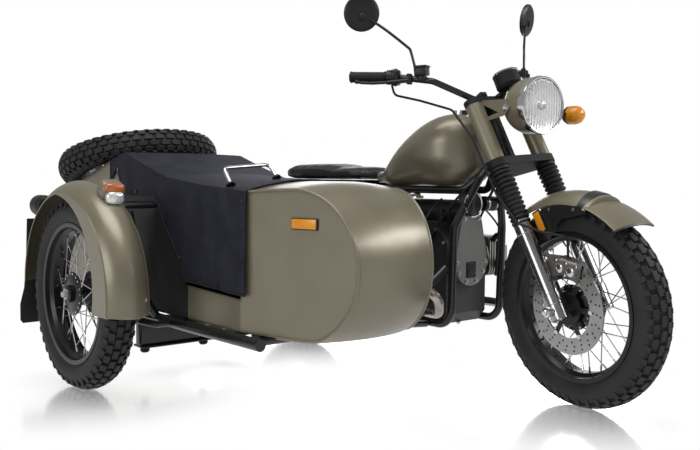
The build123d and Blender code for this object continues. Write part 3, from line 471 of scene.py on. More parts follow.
bike_place = moved(rear_hub.x, rear_hub.y, 0)
head_point = Vector(joints["steering"]["pos_m"])
steer_place = Matrix.Translation(head_point) @ steer_spin @ Matrix.Translation(-head_point) @ bike_place
fork_place = steer_place @ moved(1.452, 0, tyre_radius) @ turned(-28.4, "Y")
front_place = wheels["front"][0]


def steered(ahead, left, up):
    """Point given in millimetres on the front end as it stands straight ahead, turned with the bars."""
    return steer_place @ Vector((ahead / 1000, left / 1000, up / 1000))


bm = bmesh.new()
spun_ring(bm, [(0.094, -0.0570), (0.147, -0.0570), (0.147, -0.0620), (0.094, -0.0620)], 96)
bmesh.ops.transform(bm, matrix=front_place, verts=bm.verts)
disc_steel = surface("disc_steel", (0.38, 0.38, 0.38), 0.30, metal=1.0, grain=0.05, grain_size=300, tint=0.15)
finished("disc_ring", bm, disc_steel, "front_wheel", "bare_steel", "brake_disc")

bm = bmesh.new()
for k in range(6):
    turn = Matrix.Rotation(tau / 6 * k, 4, "Y")
    block(bm, (0.052, 0.004, 0.017), front_place @ turn @ moved(0.074, -0.0595, 0), 0.0012, 1)
lathe(bm, [(0.016, 0.0572), (0.056, 0.0572), (0.054, 0.0622), (0.016, 0.0622)], 48,
      front_place @ turned(90, "X"))
finished("disc_arms", bm, black_rim, "front_wheel", "black_paint")

bm = bmesh.new()
for ring_r, count, start in ((0.107, 18, 0.0), (0.121, 24, 0.1), (0.135, 24, 0.25)):
    for k in range(count):
        turn = Matrix.Rotation(tau / count * (k + start), 4, "Y")
        for side_y, way in ((-0.0623, -1), (-0.0567, 1)):
            place = front_place @ turn @ moved(ring_r, side_y, 0) @ turned(90, "X")
            bmesh.ops.create_circle(bm, cap_ends=True, segments=12, radius=0.0034, matrix=place)
finished("disc_holes", bm, black_rubber, "front_wheel", "black_paint")

bm = bmesh.new()
for k in range(6):
    turn = Matrix.Rotation(tau / 6 * k, 4, "Y")
    lathe(bm, [(0, 0.0026), (0.0062, 0.0026), (0.0074, 0.0016), (0.0074, -0.004)], 16,
          front_place @ turn @ moved(0.0955, -0.062, 0) @ turned(90, "X"))
lathe(bm, [(0, 0.030), (0.007, 0.030), (0.0095, 0.028), (0.0095, 0.020), (0.017, 0.019), (0.017, 0)], 6,
      fork_place @ moved(0, -0.134, 0) @ turned(90, "X"))
finished("disc_bobbins", bm, bright_metal, "front_wheel", "bare_steel")


# Fork: bright sliders with a clamp at the foot, and rubber bellows held by a band at each end.
# Amber reflectors in black housings are screwed to the sliders, and an amber lamp stands out on a stalk.
leg_across = 0.105
bellows_low, bellows_high = 0.3003, 0.5030
fold_count = 11
bm = bmesh.new()
pitch = (bellows_high - bellows_low - 0.024) / fold_count
outline = [(0.0180, bellows_low), (0.0290, bellows_low), (0.0300, bellows_low + 0.002),
           (0.0300, bellows_low + 0.010)]
for k in range(fold_count):
    foot = bellows_low + 0.012 + pitch * k
    grow = 0.0004 * k
    outline += [(0.0265, foot + pitch * 0.06), (0.0318 + grow, foot + pitch * 0.34),
                (0.0326 + grow, foot + pitch * 0.5), (0.0318 + grow, foot + pitch * 0.66),
                (0.0265, foot + pitch * 0.94)]
outline += [(0.0330, bellows_high - 0.010), (0.0330, bellows_high), (0.0180, bellows_high)]
for hand in (1, -1):
    lathe(bm, outline, 40, fork_place @ moved(0, hand * leg_across, 0))
finished("gaiter_folds", bm, black_rubber, "steering", "black_rubber", "fork_gaiters", sharp=60)

bm = bmesh.new()
for hand in (1, -1):
    leg = fork_place @ moved(0, hand * leg_across, 0)
    lathe(bm, [(0.0300, 0.3030), (0.0312, 0.3034), (0.0312, 0.3096), (0.0300, 0.3100)], 40, leg)
    lathe(bm, [(0.0271, 0.018), (0.0290, 0.020), (0.0290, 0.052), (0.0271, 0.054)], 40, leg)
    lathe(bm, [(0.0271, 0.262), (0.0286, 0.264), (0.0286, 0.298), (0.0271, 0.300)], 40, leg)
    lathe(bm, [(0, 0.7680), (0.0125, 0.7680), (0.0150, 0.7665), (0.0150, 0.7600)], 6, leg)
    block(bm, (0.020, 0.012, 0.030), leg @ moved(-0.030, 0, 0.036), 0.002)
finished("fork_bands", bm, slider_alloy, "steering", "bare_steel")

amber = surface("amber_plastic", (0.68, 0.25, 0.004), 0.20, coat=0.15, grain=0.25, grain_size=220, tint=0.12)
bm = bmesh.new()
for hand in (1, -1):
    block(bm, (0.026, 0.011, 0.066), fork_place @ moved(0.051, hand * 0.0802, 0.281), 0.003)
pod_place = steer_place @ moved(1.2120, 0.2060, 0.9360) @ turned(90, "Y")
lathe(bm, [(0.0312, 0.030), (0.0322, 0.036), (0.0322, 0.050), (0.0290, 0.064), (0.0200, 0.076),
           (0.0090, 0.0805), (0, 0.0815)], 36, pod_place)
finished("fork_amber_lenses", bm, amber, "steering", "amber_lens", "front_amber_lamps")

bm = bmesh.new()
for hand in (1, -1):
    block(bm, (0.034, 0.007, 0.076), fork_place @ moved(0.050, hand * 0.0780, 0.282), 0.003)
lathe(bm, [(0, 0), (0.014, 0.001), (0.024, 0.008), (0.0310, 0.020), (0.0318, 0.031), (0.0300, 0.031)], 36,
      pod_place)
rod(bm, steered(1240, 97, 950), steered(1244, 184, 940), 0.0065, 16)
finished("lamp_backs", bm, black_plastic, "steering", "black_plastic")


# Headlamp: olive bucket with a bright rim, a fluted glass and the bulb's cap in front of a mirrored bowl.
# It hangs between the ears of the upper fork covers, on one bolt each side.
lamp_place = steer_place @ moved(1.312, 0, 0.971) @ turned(90, "Y")
bm = bmesh.new()
lathe(bm, [(0.0925, -0.020), (0.0950, -0.018), (0.0958, -0.004), (0.0940, 0.0035), (0.0905, 0.0060),
           (0.0870, 0.0048), (0.0856, 0.0010), (0.0850, -0.0050)], 72, lamp_place)
for hand in (1, -1):
    lathe(bm, [(0, 0.0070), (0.0075, 0.0068), (0.0090, 0.0055), (0.0090, 0.0015), (0.0125, 0.0010),
               (0.0125, -0.001)], 6,
          facing(steered(1240, hand * 96, 971), steer_spin.to_3x3() @ Vector((0, hand, 0))))
finished("headlamp_rim", bm, bright_metal, "steering", "polished_steel")

bowl_metal = surface("bowl_metal", (0.72, 0.71, 0.71), 0.16, metal=1.0, grain=0.5, grain_size=70, tint=0.02,
                     stretch=(1, 1, 0.08))
bm = bmesh.new()
lathe(bm, [(0.0150, -0.0052), (0.0300, -0.0050), (0.0500, -0.0040), (0.0700, -0.0018), (0.0845, 0.0008)], 72,
      lamp_place)
lathe(bm, [(0, 0.0035), (0.0100, 0.0030), (0.0140, 0.0005), (0.0150, -0.0052)], 36, lamp_place)
finished("headlamp_bowl", bm, bowl_metal, "steering", "polished_steel", sharp=60)


def glass(name, tone, flute_size, strength):
    """Clear moulded glass whose upright flutes bend what is seen through it."""
    material, tree, shader = new_material(name)
    place = add(tree, "TexCoord")
    flutes = add(tree, "TexWave", {"Scale": flute_size, "Distortion": 0.6, "Vector": place.outputs["Object"]},
                 bands_direction="Y")
    relief = add(tree, "Bump", {"Strength": strength, "Distance": 0.002, "Height": flutes.outputs["Fac"]})
    feed(tree, shader, {"Base Color": (*tone, 1), "Roughness": 0.04, "Transmission Weight": 0.96, "IOR": 1.40,
                        "Normal": relief.outputs["Normal"]})
    return material


clear_glass = glass("clear_glass", (0.93, 0.93, 0.94), 26, 0.6)
bm = bmesh.new()
lathe(bm, [(0.0854, 0.0016), (0.0854, 0.0034), (0.0700, 0.0056), (0.0500, 0.0072), (0.0250, 0.0081),
           (0, 0.0083)],
      72, lamp_place)
lathe(bm, [(0.0854, 0.0016), (0.0700, 0.0036), (0.0500, 0.0052), (0.0250, 0.0061), (0, 0.0063)], 72,
      lamp_place)
bmesh.ops.remove_doubles(bm, verts=bm.verts, dist=0.00002)
finished("headlamp_glass", bm, clear_glass, "steering", "clear_glass", "headlamp_lens", sharp=60)


# Front fender trim: a rolled bead along each edge and a black lip at the tip, with bolts through the strap.
# The beads are part of the pressed sheet; the lip is painted black.
def wire(name, points, radius, material, body, cyclic=False, smooth=True):
    """Round bar or cord that follows the points."""
    data = bpy.data.curves.new(name, "CURVE")
    data.dimensions = "3D"
    data.bevel_depth = radius
    data.bevel_resolution = 3
    data.use_fill_caps = True
    data.resolution_u = 6
    line = data.splines.new("NURBS" if smooth else "POLY")
    line.points.add(len(points) - 1)
    for point, at in zip(line.points, points):
        point.co = (*at, 1)
    line.use_cyclic_u = cyclic
    if smooth:
        line.order_u = 4
        line.use_endpoint_u = not cyclic
    data.materials.append(material)
    piece = bpy.data.objects.new(name, data)
    scene.collection.objects.link(piece)
    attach(piece, body)
    return piece


def beside_hub(place, radius, across, turn):
    """Point beside a wheel's hub: metres from the axle and to the left, degrees above straight ahead."""
    return place @ Vector((radius * cos(radians(turn)), across, radius * sin(radians(turn))))


def round_hub(place, radius, across, start, end, steps):
    """Points on an arc about a wheel's hub."""
    return [beside_hub(place, radius, across, start + (end - start) * k / steps) for k in range(steps + 1)]


left_and_right = (("left", 1), ("right", -1))
for side, hand in left_and_right:
    wire(f"front_fender_bead_{side}", round_hub(front_place, 0.3300, hand * 0.0695, 74, 124, 24), 0.0022,
         olive_paint, "steering")
    wire(f"front_tip_bead_{side}", round_hub(front_place, 0.3388, hand * 0.0855, 50.5, 73, 12), 0.0024,
         olive_paint, "steering")
tip = []
tip_half, tip_turn = 0.086, 50.4
for k in range(13):
    across = -tip_half + 2 * tip_half * k / 12
    radius = 0.339 + 0.016 * (1 - (across / tip_half) ** 2) - 0.0012
    tip.append(beside_hub(front_place, radius, across, tip_turn))
wire("front_fender_lip", tip, 0.0034, black_edged, "steering")

bolt_steel = surface("bolt_steel", (0.42, 0.42, 0.41), 0.32, metal=1.0, grain=0.08, tint=0.2)


def bolt(bm, at, way, across):
    """Hexagon head on its washer."""
    place = facing(at, way)
    lathe(bm, [(0, 0.62 * across), (0.42 * across, 0.62 * across), (0.5 * across, 0.52 * across),
               (0.5 * across, 0)], 6,
          place)
    lathe(bm, [(0.46 * across, 0.16 * across), (0.78 * across, 0.14 * across),
               (0.80 * across, -0.05 * across)], 18, place)


bm = bmesh.new()
right = steer_spin.to_3x3() @ Vector((0, -1, 0))
for hand in (1, -1):
    for ahead, up in ((1322, 566), (1332, 548), (1398, 640), (1500, 645)):
        bolt(bm, steered(ahead, hand * 70.9, up), right * -hand, 0.011)
finished("fender_bolts", bm, bolt_steel, "steering", "bare_steel")


# Front caliper: cast body over the top of the disc, with its piston caps, pad pins and two mounting bolts.
# It is bolted to a lug on the right slider.
caliper_metal = surface("caliper_metal", (0.20, 0.19, 0.175), 0.40, metal=0.8, grain=0.3, grain_size=420,
                        tint=0.35, soften=0.003)
dress(caliper_metal, "brake_caliper")
bm = bmesh.new()
for turn in (69, 89):
    lathe(bm, [(0, 0.0050), (0.0120, 0.0048), (0.0150, 0.0030), (0.0155, -0.002)], 24,
          facing(beside_hub(front_place, 0.133, -0.0930, turn), right))
for radius, turn in ((0.152, 79), (0.113, 79), (0.158, 64), (0.158, 94)):
    bolt(bm, beside_hub(front_place, radius, -0.0928, turn), right, 0.0085)
for ahead, up in ((1396, 452), (1392, 484)):
    bolt(bm, steered(ahead, -90, up), right, 0.014)
finished("caliper_caps", bm, bright_metal, "steering", "bare_steel")


# Mirrors: round black shells on bent steel stalks, clamped to the bar beside the grips.
# The glass looks back at the rider, so each shell faces ahead and a little outwards.
glass_silver = surface("mirror_silver", (0.80, 0.82, 0.84), 0.04, metal=1.0, grain=0.004, tint=0.02)
mirror_out = radians(24)
mirror_level, mirror_dip = 0.985, -0.174


def on_side(point, hand):
    """Point given for the right half of the bar, on the right half or on the left one."""
    return steered(point[0], point[1] * hand, point[2])


shell_bm, silver_bm = bmesh.new(), bmesh.new()
for side, hand in (("right", 1), ("left", -1)):
    centre = steered(857, -385 * hand, 1318)
    ahead_way = steer_spin.to_3x3() @ Vector((mirror_level * cos(mirror_out),
                                              -hand * mirror_level * sin(mirror_out), mirror_dip))
    place = facing(centre, ahead_way)
    lathe(shell_bm, [(0.0590, 0.0010), (0.0612, -0.0010), (0.0620, 0.0030), (0.0612, 0.0070),
                     (0.0560, 0.0105), (0.0420, 0.0128), (0.0220, 0.0138), (0, 0.0140)], 48, place)
    lathe(shell_bm, [(0, 0.0200), (0.0090, 0.0196), (0.0115, 0.0170), (0.0115, 0.0110)], 20,
          facing(centre - Vector((0, 0, 0.012)), ahead_way))
    lathe(silver_bm, [(0.0590, 0.0010), (0.0400, 0.0002), (0, 0)], 48, place)
    stalk = [(975, -249, 1096.4), (974, -251, 1110), (966, -263, 1180), (963, -266, 1188), (956, -272, 1196),
             (905, -330, 1265), (880, -357, 1289), (872, -374, 1304)]
    wire(f"mirror_stalk_{side}", [on_side(point, hand) for point in stalk], 0.0048, black_paint, "steering")
    rod(shell_bm, steered(974, -250 * hand, 1088), steered(973, -251 * hand, 1122), 0.0085, 6)
finished("mirror_shells", shell_bm, black_plastic, "steering", "black_plastic", "mirrors")
finished("mirror_glass", silver_bm, glass_silver, "steering", "polished_steel")


# Hand controls: ribbed rubber grips, switch housings, two levers, and the brake's fluid box on the right.
# Everything is clamped on the bar.
rib_count, rib_pitch = 15, 0.0072
bar_inner, bar_outer = Vector((930, -285, 1094)), Vector((800, -408, 1107))
grip_way = (bar_outer - bar_inner).normalized()
lever_points = ((968, -276, 1081), (946, -316, 1079), (926, -342, 1078), (886, -378, 1079), (858, -402, 1083),
                (850, -413, 1087))
lever_widths = (7.2, 6.2, 5.4, 5.0, 5.0)
rubber_bm, control_bm, lever_bm = bmesh.new(), bmesh.new(), bmesh.new()
for hand in (1, -1):
    start = on_side(bar_inner + grip_way * 52, hand)
    end = on_side(bar_outer, hand)
    outline = [(0.0172, 0.0), (0.0215, 0.0005), (0.0215, 0.0040), (0.0180, 0.0060)]
    for k in range(rib_count):
        outline += [(0.0176, 0.0080 + rib_pitch * k), (0.0190, 0.0096 + rib_pitch * k),
                    (0.0190, 0.0124 + rib_pitch * k), (0.0176, 0.0140 + rib_pitch * k)]
    outline += [(0.0200, 0.1210), (0.0200, 0.1240), (0.0150, 0.1275), (0, 0.1280)]
    lathe(rubber_bm, outline, 28, facing(start, end - start))
    place = facing(on_side(bar_inner + grip_way * 18, hand), end - start)
    block(control_bm, (0.046, 0.052, 0.034), place, 0.008, 3)
    block(control_bm, (0.012, 0.060, 0.012), place, 0.003)
    pivot = steered(962, -272 * hand, 1086)
    block(control_bm, (0.030, 0.036, 0.020), facing(pivot, end - start), 0.005)
    for one, other, width in zip(lever_points, lever_points[1:], lever_widths):
        rod(lever_bm, on_side(one, hand), on_side(other, hand), width / 1000, 10)
    bmesh.ops.create_uvsphere(lever_bm, u_segments=14, v_segments=8, radius=0.0078,
                              matrix=Matrix.Translation(on_side(lever_points[-1], hand)))
box_place = steer_place @ moved(0.990, -0.238, 1.1090) @ turned(36, "Z")
block(control_bm, (0.040, 0.058, 0.030), box_place, 0.006, 3)
block(control_bm, (0.044, 0.062, 0.007), box_place @ moved(0, 0, 0.0165), 0.002)
block(control_bm, (0.026, 0.030, 0.026), box_place @ moved(0, 0, -0.020), 0.004)
finished("grip_ribs", rubber_bm, black_rubber, "steering", "black_rubber", sharp=50)
finished("control_boxes", control_bm, black_plastic, "steering", "black_plastic")
finished("hand_levers", lever_bm, black_plastic, "steering", "black_plastic")


# Dial over the upper yoke: a black plate with plain light marks and a needle, inside a bright rim.
# It lies in a black cup that stands on the yoke.
dial_place = steer_place @ moved(1.160, 0, 1.045) @ turned(-25, "Y")
dial_face = surface("dial_face", (0.55, 0.55, 0.53), 0.35, tint=0.05)
bm = bmesh.new()
lathe(bm, [(0.0440, 0.0405), (0.0462, 0.0420), (0.0462, 0.0465), (0.0430, 0.0475), (0.0400, 0.0450)], 48,
      dial_place)
finished("dial_rim", bm, bright_metal, "steering", "polished_steel")
bm = bmesh.new()
bmesh.ops.create_circle(bm, cap_ends=True, segments=48, radius=0.0405,
                        matrix=dial_place @ moved(0, 0, 0.0446))
finished("dial_plate", bm, black_plastic, "steering", "black_plastic")
bm = bmesh.new()
for k in range(19):
    turn = turned(-135 + 15 * k, "Z")
    long_mark = k % 3 == 0
    block(bm, (0.0075 if long_mark else 0.0040, 0.0012, 0.0006),
          dial_place @ turn @ moved(0.0350 if long_mark else 0.0367, 0, 0.0450))
block(bm, (0.0300, 0.0016, 0.0008), dial_place @ turned(-128, "Z") @ moved(0.012, 0, 0.0456))
finished("dial_marks", bm, dial_face, "steering", "black_plastic")


# Engine front: pear-shaped cover of bare alloy with its dark air slot and two vents, bolted on all round.
# The bolts of the cover, generator, sump and crankcase are plain steel, and so is the oil filler's plug.
def two_tone(name, base, inner, limits):
    """Copy of a finish that turns into another one past all the limits, each an axis, a sign and a place."""
    material = base.copy()
    material.name = name
    tree = material.node_tree
    shader = tree.nodes["Principled BSDF"]
    parts = add(tree, "SeparateXYZ", {"Vector": add(tree, "TexCoord").outputs["Object"]})
    least = None
    for axis, sign, limit in limits:
        gap = add(tree, "Math", {0: parts.outputs[axis], 1: sign, 2: -sign * limit}, operation="MULTIPLY_ADD")
        if least is None:
            least = gap.outputs[0]
        else:
            least = add(tree, "Math", {0: least, 1: gap.outputs[0]}, operation="MINIMUM").outputs[0]
    soft_edge = 0.0006
    mask = add(tree, "MapRange", {"Value": least, "From Min": -soft_edge, "From Max": soft_edge})
    colour, rough, metal = inner
    number_sockets, colour_sockets = (2, 3, 0), (6, 7, 2)
    for socket, kind, (first, second, result), value in (("Base Color", "RGBA", colour_sockets, (*colour, 1)),
                                                         ("Roughness", "FLOAT", number_sockets, rough),
                                                         ("Metallic", "FLOAT", number_sockets, metal)):
        held = shader.inputs[socket]
        outer = held.links[0].from_socket if held.is_linked else held.default_value
        mix = add(tree, "Mix", {0: mask.outputs["Result"], first: outer, second: value}, data_type=kind)
        tree.links.new(mix.outputs[result], held)
    return material


cover_front = spot(984, 0, 0).x
dress(two_tone("engine_case", engine_black, ((0.20, 0.20, 0.19), 0.38, 0.75),
               (("X", 1, cover_front - 0.0235),)),
      "engine_block")
bm = bmesh.new()
block(bm, (0.010, 0.052, 0.062), Matrix.Translation(spot(981, -2, 402)), 0.004)
for k in range(4):
    block(bm, (0.004, 0.046, 0.006), Matrix.Translation(spot(987, -2, 382 + 13 * k)), 0.001)
for hand in (1, -1):
    block(bm, (0.030, 0.014, 0.120), Matrix.Translation(spot(880, hand * 56, 560)), 0.005)
finished("air_slot", bm, black_plastic, "root", "black_plastic")

bm = bmesh.new()
ahead_way = Vector((1, 0, 0))
for turn in (-150, -110, -70, -30, 0, 180):
    bolt(bm, spot(983.5, 74 * cos(radians(turn)), 430 + 74 * sin(radians(turn))), ahead_way, 0.011)
for turn in (35, 90, 145):
    bolt(bm, spot(983.5, 45 * cos(radians(turn)), 560 + 45 * sin(radians(turn))), ahead_way, 0.011)
for turn in (60, 120, 240, 300):
    bolt(bm, spot(944.5, 28 * cos(radians(turn)), 606 + 28 * sin(radians(turn))), ahead_way, 0.008)
bolt(bm, spot(944.5, 0, 606), ahead_way, 0.018)
for ahead in (690, 750, 810, 870, 925):
    bolt(bm, spot(ahead, 0, 205), Vector((0, 0, -1)), 0.012)
for hand in (1, -1):
    for ahead, up in ((672, 262), (700, 500), (740, 556), (905, 548), (944, 500), (944, 280)):
        bolt(bm, spot(ahead, hand * 105.3, up), Vector((0, hand, 0)), 0.011)
lathe(bm, [(0, 0.016), (0.014, 0.016), (0.018, 0.012), (0.018, 0)], 8,
      facing(spot(850, -105, 470), Vector((0, -1, 0))))
finished("engine_bolts", bm, bolt_steel, "root", "bare_steel")


# Fuel tap: a small alloy casting screwed up into the tank, with its lever and two outlets.
# The hoses that leave it are not modelled.
tap_bm = bmesh.new()
rod(tap_bm, spot(770, -60, 694), spot(770, -60, 668), 0.009, 8)
rod(tap_bm, spot(770, -60, 676), spot(800, -84, 664), 0.006, 10)
rod(tap_bm, spot(770, -60, 672), spot(742, -78, 660), 0.0055, 10)
block(tap_bm, (0.034, 0.008, 0.010), Matrix.Translation(spot(806, -88, 661)), 0.003)
finished("fuel_tap", tap_bm, cast_alloy, "root", "cast_alloy")


# Cylinder heads: two ribs and a centre bolt on each rocker cover, and rubber caps on the spark plugs.
# The plug leads run up under the tank.
bm, plug_bm = bmesh.new(), bmesh.new()
for side, hand in left_and_right:
    out = Vector((0, hand, 0))
    for up in (412, 448):
        block(bm, (0.090, 0.008, 0.007), Matrix.Translation(spot(800, hand * 349.5, up)), 0.003)
    lathe(bm, [(0, 0.012), (0.008, 0.012), (0.011, 0.009), (0.011, 0)], 6,
          facing(spot(800, hand * 347, 430), out))
    rod(plug_bm, spot(842, hand * 262, 470), spot(892, hand * 250, 512), 0.011, 12)
    rod(plug_bm, spot(892, hand * 250, 512), spot(904, hand * 246, 520), 0.007, 12)
    lead = [(904, 246, 520), (925, 235, 536), (930, 190, 575), (915, 120, 640), (890, 60, 655)]
    wire(f"plug_lead_{side}", [spot(x, y * hand, z) for x, y, z in lead], 0.0036, black_rubber, "root")
finished("rocker_trim", bm, cast_alloy, "root", "cast_alloy")
finished("plug_caps", plug_bm, black_rubber, "root", "black_rubber")


# Horn on the right downtube: pressed black shell with a bright rim and a face of raised rings.
# It is bolted to a tab on the tube.
bm = bmesh.new()
horn_place = facing(spot(1044, -62, 640), ahead_way)
lathe(bm, [(0.0440, -0.004), (0.0462, -0.002), (0.0462, 0.002), (0.0420, 0.0040), (0.0400, 0.0010)], 40,
      horn_place)
finished("horn_rim", bm, bright_metal, "root", "polished_steel")
bm = bmesh.new()
for k in range(5):
    lathe(bm, [(0.0060 + 0.0070 * k, 0.0005), (0.0085 + 0.0070 * k, 0.0022), (0.0110 + 0.0070 * k, 0.0005)],
          36, horn_place)
finished("horn_face", bm, black_plastic, "root", "black_plastic")


# Exhaust: slip joints with clamp bands, and the open rear ends of the two silencers.
# The bands are of the same steel as the pipes; the mouths are dark with soot.
bm, inner_bm = bmesh.new(), bmesh.new()
for hand in (1, -1):
    back = facing(spot(-330, hand * 192, 262), Vector((-1, 0, 0)))
    lathe(bm, [(0.0412, -0.030), (0.0428, -0.028), (0.0428, -0.018), (0.0412, -0.016)], 40, back)
    lathe(bm, [(0.0410, -0.001), (0.0400, 0.0030), (0.0330, 0.0065), (0.0240, 0.0070), (0.0215, 0.0050)], 40,
          back)
    lathe(inner_bm, [(0.0215, 0.0050), (0.0205, 0.0020), (0, 0.0020)], 24, back)
    front_end = facing(spot(340, hand * 192, 262), Vector((1, 0, 0)))
    lathe(bm, [(0.0190, 0.004), (0.0225, 0.005), (0.0225, 0.021), (0.0190, 0.022)], 32, front_end)
finished("silencer_bands", bm, pipe_metal, "root", "polished_steel")
finished("silencer_mouths", inner_bm, black_rubber, "root", "black_paint")


# Spring units: coil spring round a damper, between a lower fork and an upper cup.
# They hang on rubber-bushed bolts.
damper_bm = bmesh.new()
for side, hand in left_and_right:
    low, high = spot(20, hand * 152, 340), spot(84, hand * 152, 707)
    way = high - low
    length = way.length
    place = facing(low, way)
    lathe(damper_bm, [(0, 0.004), (0.0130, 0.004), (0.0160, 0.010), (0.0160, 0.060), (0.0260, 0.066),
                      (0.0260, 0.072), (0.0150, 0.076), (0.0150, 0.190), (0.0070, 0.194),
                      (0.0070, length - 0.085)], 28, place)
    lathe(damper_bm, [(0.0070, length - 0.086), (0.0270, length - 0.082), (0.0285, length - 0.070),
                      (0.0285, length - 0.030), (0.0200, length - 0.012), (0, length - 0.008)], 28, place)
    for end in (low, high):
        lathe(damper_bm, [(0.0060, -0.014), (0.0150, -0.014), (0.0150, 0.014), (0.0060, 0.014)], 24,
              facing(end, Vector((0, 1, 0))))
        bolt(damper_bm, end + Vector((0, hand * 0.014, 0)), Vector((0, hand, 0)), 0.016)
    coils, turns_each = 9.5, 16
    helix = []
    for k in range(int(coils * turns_each) + 1):
        share = k / (coils * turns_each)
        turn = tau * coils * share
        rise = 0.076 + (length - 0.164) * share
        helix.append(place @ Vector((0.0222 * cos(turn), 0.0222 * sin(turn), rise)))
    coil = wire(f"shock_spring_{side}", helix, 0.0036, bright_metal, "root")
    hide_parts("rear_shocks")
finished("shock_dampers", damper_bm, black_paint, "root", "black_paint", "rear_shocks")


# Rider's bench: foam in black vinyl on a steel pan, with sewn channels across the rear half.
# A piped seam runs along both sides; the front half is lower and narrows towards the tank.
def ring_loft(bm, rings):
    """Skin over closed rings of equal count, with both ends filled."""
    loops = [[bm.verts.new(point) for point in ring] for ring in rings]
    for one, other in zip(loops, loops[1:]):
        for k, here in enumerate(one):
            after = (k + 1) % len(one)
            bm.faces.new((here, one[after], other[after], other[k]))
    bm.faces.new(loops[0])
    bm.faces.new(loops[-1])


def filled(bm, swell):
    """Stuffs a pad in a cloth simulation: it swells by swell at most, and keeps its outer size."""
    mesh_size, pressure, frames = 0.006, 4, 20
    low, high = [[pick(v.co[axis] for v in bm.verts) for axis in range(3)] for pick in (min, max)]
    mesh = bpy.data.meshes.new("pad")
    bm.to_mesh(mesh)
    bm.free()
    pad = bpy.data.objects.new("pad", mesh)
    scene.collection.objects.link(pad)
    even = pad.modifiers.new("even_mesh", "REMESH")
    even.mode = "VOXEL"
    even.voxel_size = mesh_size
    slack = bpy.data.meshes.new_from_object(pad.evaluated_get(bpy.context.evaluated_depsgraph_get()))
    pad.modifiers.clear()
    pad.data = slack
    cloth = pad.modifiers.new("stuffing", "CLOTH")
    cloth.settings.use_pressure = True
    cloth.settings.uniform_pressure_force = pressure
    cloth.settings.effector_weights.gravity = 0
    cloth.collision_settings.use_collision = False
    cloth.point_cache.frame_start = 1
    cloth.point_cache.frame_end = frames
    for step in range(1, frames + 1):
        scene.frame_set(step)
    full = pad.evaluated_get(bpy.context.evaluated_depsgraph_get()).data
    moves = [after.co - before.co for before, after in zip(slack.vertices, full.vertices)]
    pad.modifiers.clear()
    for v, move in zip(slack.vertices, moves):
        v.co += move * min(1.0, swell / max(move.length, 1e-9))
    soft = pad.modifiers.new("one_subdivision", "SUBSURF")
    soft.levels = 1
    stuffed = bpy.data.meshes.new_from_object(pad.evaluated_get(bpy.context.evaluated_depsgraph_get()))
    bpy.data.objects.remove(pad)
    scene.frame_set(1)
    bm = bmesh.new()
    bm.from_mesh(stuffed)
    for axis in range(3):
        reached = [v.co[axis] for v in bm.verts]
        wide = (high[axis] - low[axis]) / (max(reached) - min(reached))
        least = min(reached)
        for v in bm.verts:
            v.co[axis] = low[axis] + (v.co[axis] - least) * wide
    return bm


def along(table, x):
    """Row of values at a place, read between the table's rows."""
    for before, after in zip(table, table[1:]):
        if before[0] <= x <= after[0]:
            share = (x - before[0]) / (after[0] - before[0])
            share = share * share * (3 - 2 * share)
            return [a + (b - a) * share for a, b in zip(before[1:], after[1:])]
    return list(table[0][1:] if x < table[0][0] else table[-1][1:])


def groove(gap, width):
    """Share of a sewn channel's full depth at a distance from its middle."""
    return 2.72 ** -((gap / width) ** 2)


vinyl = surface("seat_vinyl", (0.014, 0.014, 0.016), 0.42, patch=0.06, grain=0.28, grain_size=520, tint=0.2)
seat_rows = (
    # place along the bike, half width, top at the middle, drop at the edge
    (12, 92, 766, 6), (24, 112, 780, 9), (60, 122, 786, 11), (160, 127, 788, 13), (270, 126, 787, 13),
    (300, 123, 781, 12), (335, 120, 772, 10), (430, 112, 772, 10), (485, 94, 769, 9), (504, 70, 760, 6),
)
seam_places = (84, 142, 200, 258)
seam_depth = 0.0042
seat_base = 722.5
rings = []
for k in range(124):
    x = 12 + 4 * k
    half, top, drop = along(seat_rows, x)
    ring = []
    for j in range(44):
        turn = tau * j / 44
        side_way, up_way = cos(turn), sin(turn)
        y = half * abs(side_way) ** 0.42 * (1 if side_way > 0 else -1)
        share = y / half
        high = top - drop * share * share
        middle = seat_base + 0.42 * (top - seat_base)
        if up_way >= 0:
            z = middle + (high - middle) * up_way ** 0.45
            y *= 1 - 0.02 * up_way
        else:
            z = middle - (middle - seat_base) * (-up_way) ** 0.30
            y *= 1 - 0.05 * -up_way
        ring.append(spot(x, y, z))
    rings.append(ring)
bm = bmesh.new()
ring_loft(bm, rings)
bm = filled(bm, 0.006)
seat_middle, seat_top = spot(0, 0, 750).z, spot(0, 0, 782).z
for v in bm.verts:
    share = min(1.0, max(0.0, (v.co.z - seat_middle) / (seat_top - seat_middle)))
    v.co.z -= sum(seam_depth * groove(v.co.x - spot(seam, 0, 0).x, 0.005) for seam in seam_places) * share
bench = finished("bench_cushion", bm, vinyl, "root", "seat_vinyl", "bike_seat", sharp=70)
for side, hand in left_and_right:
    piping = []
    for k in range(30):
        x = 20 + 16.4 * k
        half, top, drop = along(seat_rows, x)
        piping.append(spot(x, hand * (half * 0.985), top - drop - 0.20 * (top - seat_base)))
    wire(f"bench_piping_{side}", piping, 0.0021, vinyl, "root")


